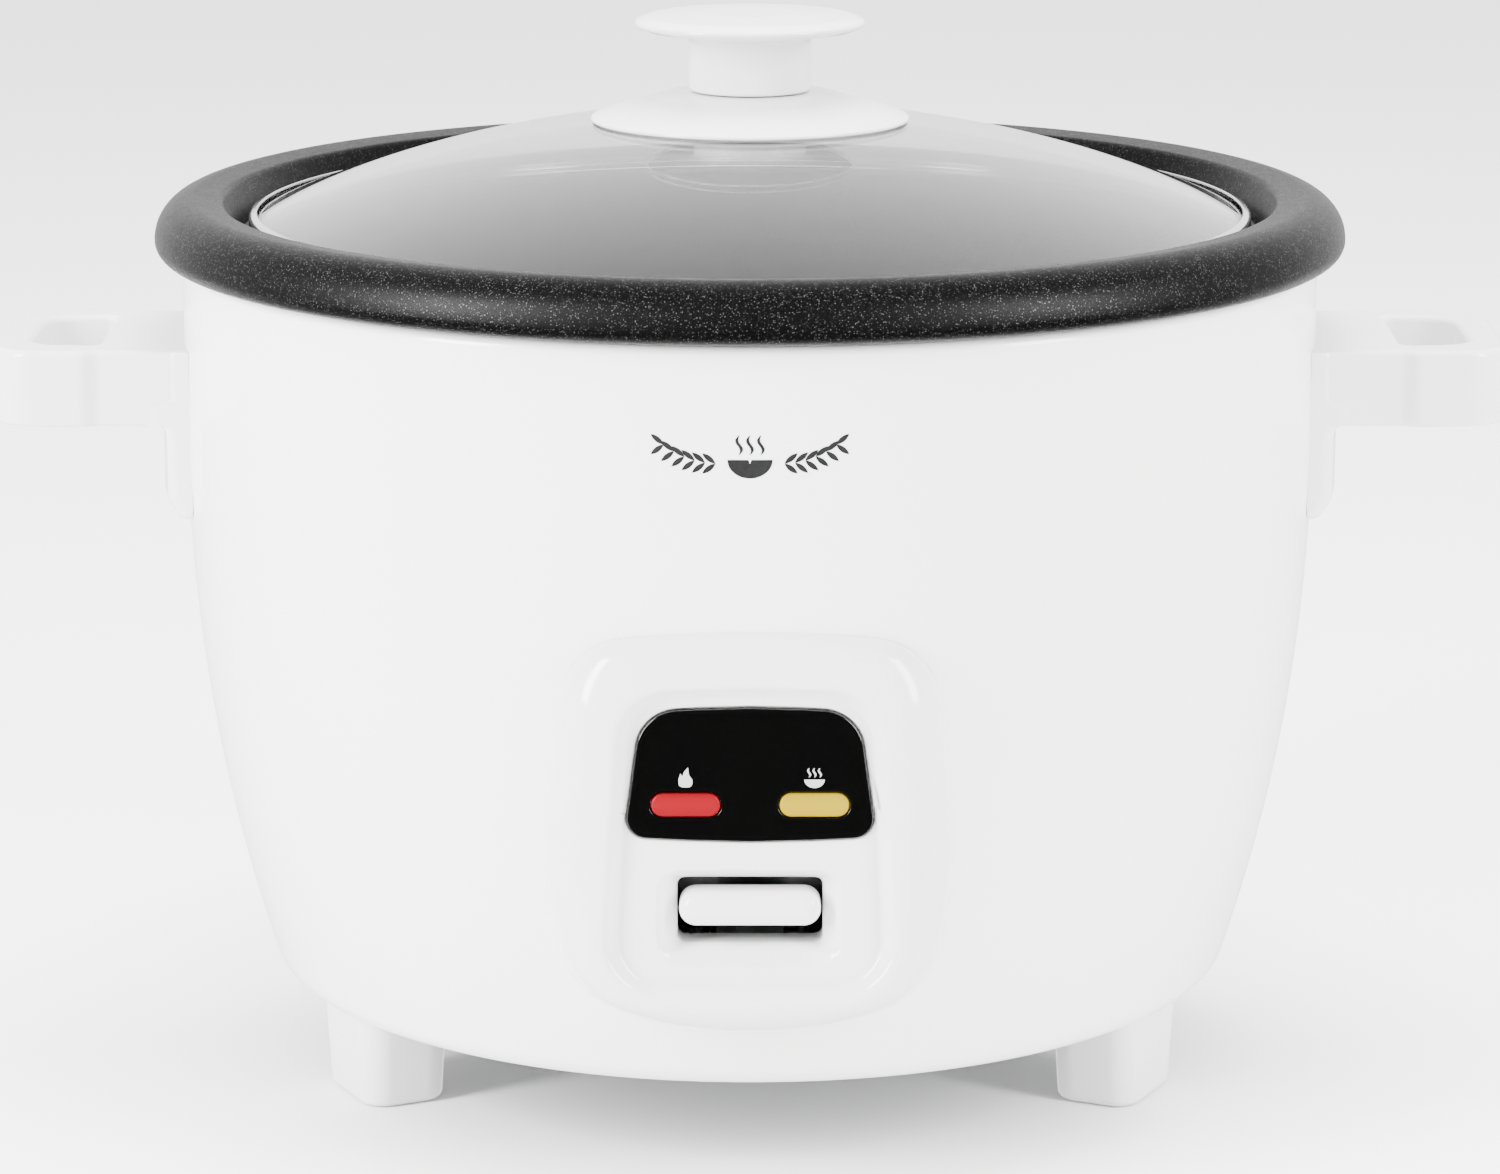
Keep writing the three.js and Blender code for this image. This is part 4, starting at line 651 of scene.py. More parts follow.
def stands_for(piece, body, slot, *nodes):
    """Says what a finished piece rides on and which nodes it stands for; its slot argument is not used.
    """
    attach(piece, body)
    if nodes:
        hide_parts(*nodes)
    return piece


def turned(name, profile, finish, around=AROUND, axis=None, sharp=38):
    """A solid turned about Z from a profile of (radius, height) that closes on itself or on Z."""
    surface = Surface()
    place = axis or Matrix.Identity(4)
    rings = []
    for radius, height in profile:
        if radius < 1e-7:
            rings.append(surface.ring([place @ Vector((0, 0, height))]))
            continue
        angles = [math.tau * i / around for i in range(around)]
        rings.append(surface.ring(
            [place @ Vector((radius * math.cos(a), radius * math.sin(a), height)) for a in angles]))
    if profile[0][0] > 1e-7:
        rings.append(rings[0])
    for one, other in zip(rings, rings[1:]):
        if len(one) == 1:
            surface.fan(other, one[0])
        elif len(other) == 1:
            surface.fan(one, other[0])
        else:
            surface.bridge(one, other)
    return even_normals(surface.make(name, finish, sharp=sharp))


def slab(name, outline, near, far, rounding, finish, put, holes=(), steps=5, back_rounding=None):
    """A plate of an anticlockwise outline between two depths, with both its rims rounded."""
    surface = Surface()
    back = rounding if back_rounding is None else back_rounding
    direction = math.copysign(1, far - near)
    levels = [(near + direction * down, inset)
              for down, inset in reversed(round_stroke(steps, rounding))]
    levels += [(far - direction * down, inset) for down, inset in round_stroke(steps, back)]
    loops = []
    for line, sign in [(outline, -1), *[(hole, 1) for hole in holes]]:
        rings = [surface.ring([put(point.x, point.y, depth) for point in grown(line, sign * inset)])
                 for depth, inset in levels]
        surface.bridges(rings)
        loops.append(rings)
    surface.fill(*[rings[0] for rings in loops])
    surface.fill(*[rings[-1] for rings in loops])
    return even_normals(surface.make(name, finish))


def facing_front(x, z, depth):
    """A drawing seen from the front: depth runs along Y."""
    return Vector((x, depth, z))


# ---- pieces made by geometry nodes
class Growth(Nodes):
    """A geometry tree with named number inputs, which ends in one material."""

    def __init__(self, name, **sizes):
        tree = bpy.data.node_groups.new(name, "GeometryNodeTree")
        super().__init__(tree)
        tree.interface.new_socket("Geometry", in_out="INPUT", socket_type="NodeSocketGeometry")
        tree.interface.new_socket("Geometry", in_out="OUTPUT", socket_type="NodeSocketGeometry")
        self.sizes = sizes
        self.identifiers = {}
        for label in sizes:
            kind = "NodeSocketInt" if isinstance(sizes[label], int) else "NodeSocketFloat"
            socket = tree.interface.new_socket(label, in_out="INPUT", socket_type=kind)
            self.identifiers[label] = socket.identifier
        self.entry = tree.nodes.new("NodeGroupInput")
        self.exit = tree.nodes.new("NodeGroupOutput")

    def size(self, label):
        return Field(self, self.entry.outputs[label])

    def source(self):
        return Field(self, self.entry.outputs["Geometry"])

    def grow(self, name, geometry, finish, start=None, sharp=38):
        """Ends the tree, runs it on an object and returns the result as a plain mesh."""
        real = self.node("GeometryNodeRealizeInstances", {}, {0: geometry})
        sockets = {"Geometry": real, "Material": FINISHES[finish]}
        done = self.node("GeometryNodeSetMaterial", {}, sockets)
        self.tree.links.new(done.socket, self.exit.inputs[0])
        mesh = start or bpy.data.meshes.new(name)
        piece = bpy.data.objects.new(name, mesh)
        bpy.context.scene.collection.objects.link(piece)
        modifier = piece.modifiers.new("growth", "NODES")
        modifier.node_group = self.tree
        for label, value in self.sizes.items():
            modifier[self.identifiers[label]] = value
        view = bpy.context.evaluated_depsgraph_get()
        result = bpy.data.meshes.new_from_object(piece.evaluated_get(view))
        bpy.data.objects.remove(piece)
        return dressed(name, result, finish, sharp)

    def sheet(self, columns, rows, radius, height):
        """A sheet round the Z axis: radius and height are functions of how far up it is."""
        sockets = {"Size X": 1.0, "Size Y": 1.0, "Vertices X": columns, "Vertices Y": rows}
        grid = self.node("GeometryNodeMeshGrid", {}, sockets)
        across, up, _ = self.parts(self.node("GeometryNodeInputPosition"))
        angle = (across + 0.5) * math.tau
        share = up + 0.5
        distance = radius(share)
        place = self.vector(angle.cosine() * distance, angle.sine() * distance, height(share))
        return self.node("GeometryNodeSetPosition", {}, {"Geometry": grid, "Position": place})

    def joined(self, *geometries):
        made = self.tree.nodes.new("GeometryNodeJoinGeometry")
        for geometry in reversed(geometries):
            self.tree.links.new(geometry.socket, made.inputs[0])
        return Field(self, made.outputs[0])


def shell_sheet():
    """The painted body: a turned-in foot flange, a base corner, a tapered side and a top flange."""
    growth = Growth(
        "shell_rule", Radius=shell_radius, Top=shell_top, Bottom=shell_bottom, Taper=BASE_TAPER,
        Taper_Start=TAPER_START, Power=TAPER_POWER, Corner=BASE_CORNER, Top_Corner=TOP_CORNER,
        Flange=0.008, Top_Flange=0.005)
    radius, top, bottom = (growth.size(label) for label in ("Radius", "Top", "Bottom"))
    corner, top_corner = growth.size("Corner"), growth.size("Top_Corner")
    start = top - growth.size("Taper_Start")
    end = bottom + corner * (1 - math.sin(BASE_LEAN))
    centre = radius - growth.size("Taper") - corner * math.cos(BASE_LEAN)

    def side_height(share):
        return end + share * (top - top_corner - end)

    def side_radius(share):
        down = ((start - side_height(share)) / (start - end)).at_least(0.0)
        return radius - growth.size("Taper") * down ** growth.size("Power")

    def corner_angle(share):
        return share * (math.pi / 2 - BASE_LEAN) - math.pi / 2

    quarter = math.pi / 2
    patches = [
        growth.sheet(AROUND + 1, 3, lambda s: centre - (1 - s) * growth.size("Flange"),
                     lambda s: s * 0 + bottom),
        growth.sheet(AROUND + 1, 9, lambda s: centre + corner * corner_angle(s).cosine(),
                     lambda s: bottom + corner + corner * corner_angle(s).sine()),
        growth.sheet(AROUND + 1, 90, side_radius, side_height),
        growth.sheet(AROUND + 1, 7,
                     lambda s: radius - top_corner + top_corner * (s * quarter).cosine(),
                     lambda s: top - top_corner + top_corner * (s * quarter).sine()),
        growth.sheet(AROUND + 1, 3, lambda s: radius - top_corner - s * growth.size("Top_Flange"),
                     lambda s: s * 0 + top),
    ]
    seams = {"Geometry": growth.joined(*patches), "Distance": 1e-5}
    whole = growth.node("GeometryNodeMergeByDistance", {}, seams)
    return growth.grow("shell_skin", whole, "white_paint")


def outer_shell():
    skin = shell_sheet()
    shape = bmesh.new()
    shape.from_mesh(skin.data)
    bmesh.ops.recalc_face_normals(shape, faces=shape.faces)
    side = max(shape.faces, key=lambda face: face.calc_center_median().x)
    if side.normal.x < 0:
        bmesh.ops.reverse_faces(shape, faces=shape.faces)
    hidden = [face for face in shape.faces if in_shell_opening(face.calc_center_median())]
    bmesh.ops.delete(shape, geom=hidden, context="FACES")
    shape.to_mesh(skin.data)
    shape.free()
    wall = skin.modifiers.new("wall", "SOLIDIFY")
    wall.thickness = SHELL_WALL
    wall.offset = -1
    piece = applied(skin, "shell_body")
    stands_for(piece, "root", "white_paint", "outer_shell")


def in_shell_opening(point):
    """Whether a place on the shell is in the bezel's window or in the inlet's hole."""
    half_x, half_z = INLET_HOLE
    if point.y < 0:
        return abs(point.x) < WINDOW_HALF and WINDOW_BOTTOM < point.z < WINDOW_TOP
    return abs(point.x) < half_x and abs(point.z - middle("inlet_housing").z) < half_z


def foot_places():
    for side in ("left", "right"):
        for end in ("front", "rear"):
            yield f"foot_{end}_{side}", middle(f"foot_{end}_{side}")


def screw_head(name, radius, shank, height, finish):
    """A pan-head screw with a cross recess, standing on its head at the origin, head down."""
    surface = Surface()
    around = 48
    recess, slot_half, depth = radius * 0.62, radius * 0.13, height * 0.55
    cross = []
    for quarter in range(4):
        turn = Matrix.Rotation(math.pi / 2 * quarter, 2)
        for a, b in [(recess, -slot_half), (recess, slot_half), (slot_half * 1.5, slot_half * 1.5)]:
            cross.append(turn @ Vector((a, b)))
    outer = [Vector((math.cos(math.tau * i / around), math.sin(math.tau * i / around)))
             for i in range(around)]
    dome = [(radius * 0.7, 0.0), (radius * 0.88, height * 0.12), (radius * 0.98, height * 0.4),
            (radius, height * 0.7), (radius, height), (shank, height), (shank, height * 3.2)]
    rings = [surface.ring([(point.x * r, point.y * r, z) for point in outer]) for r, z in dome]
    mouth = surface.ring([(point.x, point.y, 0) for point in cross])
    pit = surface.ring([(point.x * 0.55, point.y * 0.55, depth) for point in cross])
    surface.bridges(rings)
    surface.fill(rings[0], mouth)
    surface.bridge(mouth, pit)
    surface.fill(pit)
    surface.fill(rings[-1])
    return surface.make(name, finish)


def foot_screws():
    """The four screws under the feet: one screw, placed at a point in each foot."""
    nodes = [node.replace("foot_", "foot_screw_") for node, _ in foot_places()]
    points = bpy.data.meshes.new("screw_points")
    head_low = low(nodes[0]).z
    points.from_pydata([(middle(node).x, middle(node).y, head_low) for node in nodes], [], [])
    radius = (high(nodes[0]).x - low(nodes[0]).x) / 2
    pattern = screw_head("screw_pattern", radius, SCREW_SHANK, SCREW_HEAD, "zinc_steel")
    growth = Growth("screws_at_points", Turn=0.4)
    sockets = {"Object": pattern}
    settings = {"transform_space": "ORIGINAL"}
    screw = growth.node("GeometryNodeObjectInfo", settings, sockets, "Geometry")
    turn = growth.vector(0.0, 0.0, growth.size("Turn"))
    sockets = {"Points": growth.source(), "Instance": screw, "Rotation": turn}
    copies = growth.node("GeometryNodeInstanceOnPoints", {}, sockets)
    piece = growth.grow("foot_screws", copies, "zinc_steel", points)
    bpy.data.objects.remove(pattern)
    stands_for(piece, "root", "zinc_steel", *nodes)


def base_plate():
    """The zinc-plated bottom: a disc with slots cut round it by a tree."""
    bottom, top = low("base_plate").z, high("base_plate").z
    growth = Growth(
        "vented_plate", Radius=high("base_plate").x, Thickness=top - bottom, Slots=10,
        Slot_Circle=0.052, Slot_Length=0.020, Slot_Width=0.0032, Small_Slots=20, Small_Circle=0.030)
    plate = growth.node("GeometryNodeMeshCylinder", {}, {
        "Vertices": 160, "Radius": growth.size("Radius"), "Depth": growth.size("Thickness")})

    def slots(count, circle, length):
        ring = growth.node("GeometryNodeMeshCircle", {}, {"Vertices": count, "Radius": circle})
        cutter = growth.node("GeometryNodeMeshCube", {}, {
            "Size": growth.vector(length, growth.size("Slot_Width"), 0.01)})
        x, y, _ = growth.parts(growth.node("GeometryNodeInputPosition"))
        turn = growth.vector(0.0, 0.0, y.angle_to(x))
        return growth.node("GeometryNodeInstanceOnPoints", {}, {
            "Points": ring, "Instance": cutter, "Rotation": turn})

    length = growth.size("Slot_Length")
    large = slots(growth.size("Slots"), growth.size("Slot_Circle"), length)
    small = slots(growth.size("Small_Slots"), growth.size("Small_Circle"), length * 0.4)
    cutters = growth.node("GeometryNodeRealizeInstances", {}, {0: growth.joined(large, small)})
    turned_half = growth.vector(0.0, 0.0, math.pi / 10)
    sockets = {"Geometry": cutters, "Rotation": turned_half}
    cutters = growth.node("GeometryNodeTransform", {}, sockets)
    open_plate = growth.node("GeometryNodeMeshBoolean", {"operation": "DIFFERENCE"}, {
        "Mesh 1": plate, "Mesh 2": cutters})
    lifted = growth.node("GeometryNodeTransform", {}, {
        "Geometry": open_plate, "Translation": (0.0, 0.0, (top + bottom) / 2)})
    piece = growth.grow("vented_base", lifted, "zinc_steel")
    stands_for(piece, "root", "zinc_steel", "base_plate")


def swept(name, points, radius, finish, sides):
    """A round wire or tube along points, drawn as a smooth curve and swept by a tree."""
    line = bpy.data.meshes.new(name + "_line")
    edges = [(i, i + 1) for i in range(len(points) - 1)]
    line.from_pydata(points, edges, [])
    growth = Growth("swept_" + name, Wire=radius, Sides=sides)
    curve = growth.node("GeometryNodeMeshToCurve", {}, {0: growth.source()})
    section = growth.node("GeometryNodeCurvePrimitiveCircle", {}, {
        "Resolution": growth.size("Sides"), "Radius": growth.size("Wire")})
    tube = growth.node("GeometryNodeCurveToMesh", {}, {
        "Curve": curve, "Profile Curve": section, "Fill Caps": True})
    return growth.grow(name, tube, finish, line)


def coil_points(centre, radius, bottom, top, turns, per_turn=40):
    count = int(turns * per_turn)
    return [(centre.x + radius * math.cos(math.tau * i / per_turn),
             centre.y + radius * math.sin(math.tau * i / per_turn),
             bottom + (top - bottom) * i / count) for i in range(count + 1)]


# ---- turned pieces
def inner_pot():
    """The pot and its rim: a rolled lip, a round outer face and the step that seats the lid."""
    wall = rim_radius - POT_INSIDE_RIM
    inside = wall - POT_WALL
    floor = low("inner_pot").z
    ledge = low("lid_band").z - LEDGE_GAP
    seat = high("lid_band").x + 0.002
    lip = shell_top + RIM_LIP
    quarter = [math.radians(angle) for angle in range(0, 91, 6)]
    curl = [(rim_radius - RIM_CURL * (1 - math.sin(a)), lip + RIM_CURL * (1 - math.cos(a)), 0)
            for a in quarter]
    shoulder = [(rim_radius - RIM_SHOULDER * (1 - math.cos(a)),
                 lip + RIM_CURL + (rim_top - lip - RIM_CURL) * math.sin(a), 0) for a in quarter[1:]]
    profile = rounded([
        (0, floor, 0),
        (wall, floor, POT_CORNER),
        (wall, ledge - POT_WALL, 0.0015),
        (seat + 0.001, ledge - POT_WALL, 0.001),
        (seat + 0.0054, rim_top - 0.0042, 0.002),
        (rim_radius - 0.0085, rim_top - 0.0022, 0.003),
        (rim_radius - POT_WALL, lip + 0.0050, 0.002),
        (rim_radius - POT_WALL, lip + 0.0034, 0.0015),
        (rim_radius - 0.0040, lip + POT_WALL, 0.001),
        (rim_radius - 0.0068, lip + POT_WALL, 0.0006),
        (rim_radius - 0.0068, lip, 0.0006),
        *curl,
        *shoulder,
        (rim_radius - 0.0150, rim_top - 0.0008, 0.0018),
        (seat, ledge + 0.0002, 0.0008),
        (inside, ledge, 0.0009),
        (inside, floor + POT_WALL, POT_CORNER - POT_WALL),
        (0, floor + POT_WALL, 0),
    ], closed=False, step=math.radians(6))
    piece = turned("pot", profile, "non_stick")
    stands_for(piece, "pot", "non_stick", "inner_pot")


def inner_liner():
    """The pressed heat shield between the pot and the shell, open under the heating plate."""
    outside = high("inner_liner").x
    inside = outside - LINER_FLANGE
    top = high("inner_liner").z
    floor = low("inner_liner").z
    wall = LINER_WALL
    profile = rounded([
        (LINER_BORE, floor, 0.0003),
        (inside + wall, floor, LINER_CORNER + wall),
        (inside + wall, top - wall, 0.0012),
        (outside, top - wall, 0.0003),
        (outside, top, 0.0003),
        (inside, top, 0.002),
        (inside, floor + wall, LINER_CORNER),
        (LINER_BORE, floor + wall, 0.0003),
    ])
    piece = turned("heat_shield", profile, "bare_aluminium")
    stands_for(piece, "root", "bare_aluminium", "inner_liner")


def heating_plate():
    """The cast plate: a face with shallow turned rings and a groove below for its element."""
    outer = high("heating_plate").x
    top, bottom = high("heating_plate").z, low("heating_plate").z
    hole = high("sensor_cap").x + 0.002
    rings = 9
    spacing = (outer - 0.006 - hole - 0.004) / rings
    face = []
    for i in range(rings):
        start = outer - 0.006 - i * spacing
        face += [(start, top, 0.0004), (start - 0.0005, top - 0.0003, 0.0002),
                 (start - 0.0013, top - 0.0003, 0.0002), (start - 0.0018, top, 0.0004)]
    groove = 0.0052
    ring = 0.058
    arc = [(ring + groove * math.cos(angle), bottom + groove * math.sin(angle), 0)
           for angle in (math.pi - math.pi * k / 16 for k in range(17))]
    profile = rounded([
        (hole, bottom, 0.0008), *arc, (outer - 0.002, bottom, 0.001),
        (outer, bottom + 0.003, 0.002), (outer, top, 0.0028), *face, (hole, top, 0.0008),
    ])
    piece = turned("cast_plate", profile, "heating_aluminium")
    stands_for(piece, "root", "bare_aluminium", "heating_plate")


def sensor_cap():
    """The cap that the pot presses on, with a shallow dish in its top."""
    radius = high("sensor_cap").x
    top, bottom = high("sensor_cap").z, low("sensor_cap").z
    profile = rounded([
        (0, top - 0.0008, 0), (radius - 0.0008, top - 0.0008, 0.0008),
        (radius - 0.0008, bottom, 0.0002),
        (radius, bottom, 0.0002), (radius, top, 0.0014), (radius * 0.5, top, 0.0006),
        (radius * 0.47, top - 0.0004, 0.0006), (0, top - 0.0004, 0),
    ], closed=False)
    piece = turned("sensor_cap_finished", profile, "bare_aluminium", SMALL_AROUND)
    stands_for(piece, "sensor", "bare_aluminium", "sensor_cap")


def glass_sag(radius, sphere=DOME_SPHERE):
    """How far a dome has fallen at a distance from its axis."""
    return sphere - math.sqrt(sphere**2 - radius**2)


def lid_glass():
    """The dome: two spheres a thickness apart, a bore for the knob's screw and a round edge."""
    apex = high("lid_glass").z
    edge = high("lid_glass").x
    inner_sphere = DOME_SPHERE - GLASS_THICKNESS
    bore = 0.0027
    count = 60
    stations = [bore + (edge - GLASS_EDGE - bore) * i / count for i in range(count + 1)]
    over = [(r, apex - glass_sag(r)) for r in reversed(stations)]
    under = [(r, apex - GLASS_THICKNESS - glass_sag(r, inner_sphere)) for r in stations]
    edge_middle = (over[0][1] + under[-1][1]) / 2
    half = (over[0][1] - under[-1][1]) / 2
    rounds = [(edge - GLASS_EDGE + GLASS_EDGE * math.cos(angle), edge_middle + half * math.sin(angle))
              for angle in (math.pi * k / 8 - math.pi / 2 for k in range(1, 8))]
    piece = turned("dome", [*under, *rounds, *over], "lid_glass")
    stands_for(piece, "lid", "lid_glass", "lid_glass")


def lid_band():
    """A rolled steel channel that holds the edge of the glass."""
    outer = high("lid_band").x
    bottom, top = low("lid_band").z, high("lid_band").z
    wall = 0.0006
    lip = outer - 0.003
    top_lip = outer - 0.0018
    profile = rounded([
        (lip, bottom, 0.0002), (outer, bottom, 0.0012), (outer, top - 0.0006, 0.0010),
        (top_lip, top, 0.0003), (top_lip, top - wall, 0.0002),
        (outer - wall, top - 0.0006 - wall, 0.0006),
        (outer - wall, bottom + wall, 0.0007), (lip, bottom + wall, 0.0002),
    ])
    piece = turned("steel_band", profile, "polished_steel")
    stands_for(piece, "lid", "polished_steel", "lid_band")


def knob():
    """A stem that swells into a thin crowned disc with a round edge."""
    radius = high("knob").x
    bottom, top = low("knob").z, high("knob").z
    stem = KNOB_STEM
    profile = rounded([
        (0, bottom, 0), (stem - 0.0004, bottom, 0.0004), (stem, bottom + 0.0006, 0.0006),
        (stem, top - 0.0046, 0.0024), (radius - 0.0022, top - 0.0039, 0.0016),
        (radius, top - 0.0030, 0.0012), (radius, top - 0.0019, 0.0012),
        (radius - 0.0026, top - 0.0008, 0.0060), (0.010, top - 0.0001, 0.010), (0, top, 0),
    ], closed=False)
    piece = turned("knob_finished", profile, "white_plastic", KNOB_AROUND)
    stands_for(piece, "lid", "white_plastic", "knob")


def knob_skirt():
    """The thin crowned disc between the knob and the glass."""
    radius = high("knob_skirt").x
    top = high("knob_skirt").z
    apex = high("lid_glass").z
    under = [(r, apex + 0.0003 - glass_sag(r), 0) for r in (KNOB_BORE, 0.009, 0.018, 0.027)]
    edge_z = apex + 0.0003 - glass_sag(radius)
    profile = rounded([
        *under, (radius, edge_z, 0.0003), (radius, edge_z + 0.0008, 0.0005),
        (radius - 0.0045, edge_z + 0.0024, 0.008), (0.0185, top - 0.0004, 0.012),
        (0.0135, top, 0.004), (KNOB_BORE, top, 0.0003),
    ])
    piece = turned("knob_skirt_finished", profile, "white_plastic", KNOB_AROUND)
    stands_for(piece, "lid", "white_plastic", "knob_skirt")


def lid_fittings():
    """The washer and screw under the knob, and the steam vent's eyelet."""
    radius = high("knob_washer").x
    top, bottom = high("knob_washer").z, low("knob_washer").z
    washer = rounded([(KNOB_BORE, bottom, 0.0002), (radius, bottom, 0.0004), (radius, top, 0.0004),
                      (KNOB_BORE, top, 0.0002)])
    piece = turned("soft_washer", washer, "silicone", SMALL_AROUND)
    stands_for(piece, "lid", "silicone", "knob_washer")
    radius = high("knob_screw").x
    screw = screw_head("lid_screw", radius, SCREW_SHANK, SCREW_HEAD, "polished_steel")
    reach = high("knob_screw").z - low("knob_screw").z
    for vertex in screw.data.vertices:
        if vertex.co.z > 0.005:
            vertex.co.z = reach
        vertex.co.z += low("knob_screw").z
    stands_for(screw, "lid", "polished_steel", "knob_screw")
    centre = Vector((0, 0, high("lid_glass").z - DOME_SPHERE))
    eyelet_y = middle("vent_eyelet").y
    tilt = Matrix.Translation(centre) @ Matrix.Rotation(-math.asin(eyelet_y / DOME_SPHERE), 4, "X")
    over = DOME_SPHERE + 0.0003
    under = DOME_SPHERE - GLASS_THICKNESS - 0.0003
    profile = rounded([
        (0.0015, under - 0.0006, 0.0003), (0.0036, under - 0.0006, 0.0003), (0.0036, under, 0.0001),
        (0.0026, under, 0.0002), (0.0026, over, 0.0002), (0.0042, over, 0.0002),
        (0.0040, over + 0.0008, 0.0005), (0.0026, over + 0.0011, 0.0006),
        (0.0015, over + 0.0003, 0.0008),
    ])
    eyelet = turned("steam_eyelet", profile, "polished_steel", 64, axis=tilt)
    stands_for(eyelet, "lid", "polished_steel", "vent_eyelet")


# ---- front panel
BEZEL_CENTRE = Vector((0, 0.0795))
RING_POINTS = 240


def by_angle(points, centre=BEZEL_CENTRE, count=RING_POINTS):
    """An outline's points at equal angles round a centre that all of it can be seen from."""
    arms = [point - centre for point in points]
    spread = sorted((arm.angle_signed(Vector((1, 0)), 0) % math.tau, arm.length) for arm in arms)
    first, last = spread[0], spread[-1]
    spread = [(last[0] - math.tau, last[1]), *spread, (first[0] + math.tau, first[1])]
    found = []
    j = 0
    for i in range(count):
        angle = math.tau * i / count
        while spread[j + 1][0] < angle:
            j += 1
        (a0, r0), (a1, r1) = spread[j], spread[j + 1]
        share = (angle - a0) / max(a1 - a0, 1e-9)
        # a straight stretch stays straight between its two ends
        length = r0 * r1 * math.sin(a1 - a0) / max(
            r0 * math.sin(angle - a0) + r1 * math.sin(a1 - angle), 1e-12) if a1 - a0 > 1e-6 else r0
        length = length if 0 < share < 1 else (r0 if share <= 0 else r1)
        found.append(centre + Vector((math.cos(angle), math.sin(angle))) * length)
    return found


def bezel_outlines():
    """The bezel's foot on the shell, the two edges of its crest, and the sunk field's edge."""
    top, bottom = 0.1262, 0.0366
    foot = rounded(mirrored([
        (0, top, 0.3), (0.0378, top - 0.0042, 0.0165), (0.0436, 0.0760, 0.09),
        (0.0385, 0.0452, 0.0240), (0.0170, bottom + 0.0018, 0.03), (0, bottom, 0.2)]),
        step=math.radians(3))
    crest_outer = rounded(mirrored([
        (0, 0.1160, 0.3), (0.0283, 0.1150, 0.0125), (0.0326, 0.0470, 0.0145), (0, 0.0458, 0.3)]),
        step=math.radians(3))
    crest_inner = rounded(mirrored([
        (0, 0.1146, 0.3), (0.0270, 0.1137, 0.0115), (0.0312, 0.0482, 0.0132), (0, 0.0471, 0.3)]),
        step=math.radians(3))
    field = rounded(mirrored([
        (0, 0.1114, 0.3), (0.0246, 0.1106, 0.0098), (0.0274, 0.0508, 0.0105), (0, 0.0497, 0.3)]),
        step=math.radians(3))
    return [by_angle(line) for line in (foot, crest_outer, crest_inner, field)]


def panel_outline(spare=0.0):
    """A crowned top with wide shoulders, sides that lean in, and smaller lower corners."""
    top, bottom = high("indicator_panel").z, low("indicator_panel").z
    half = high("indicator_panel").x
    line = rounded(mirrored([
        (0, top + 0.0002, 0.3), (half * 0.895, top - 0.0010, 0.0088),
        (half * 1.04, bottom + 0.0011, 0.0042),
        (0, bottom - 0.0002, 0.3)]), step=math.radians(4))
    return grown(anticlockwise(line), spare)


def anticlockwise(points):
    area = sum(a.x * b.y - b.x * a.y for a, b in zip(points, points[1:] + points[:1]))
    return points if area > 0 else points[::-1]


def lerp_ring(one, other, share):
    return [a.lerp(b, share) for a, b in zip(one, other)]


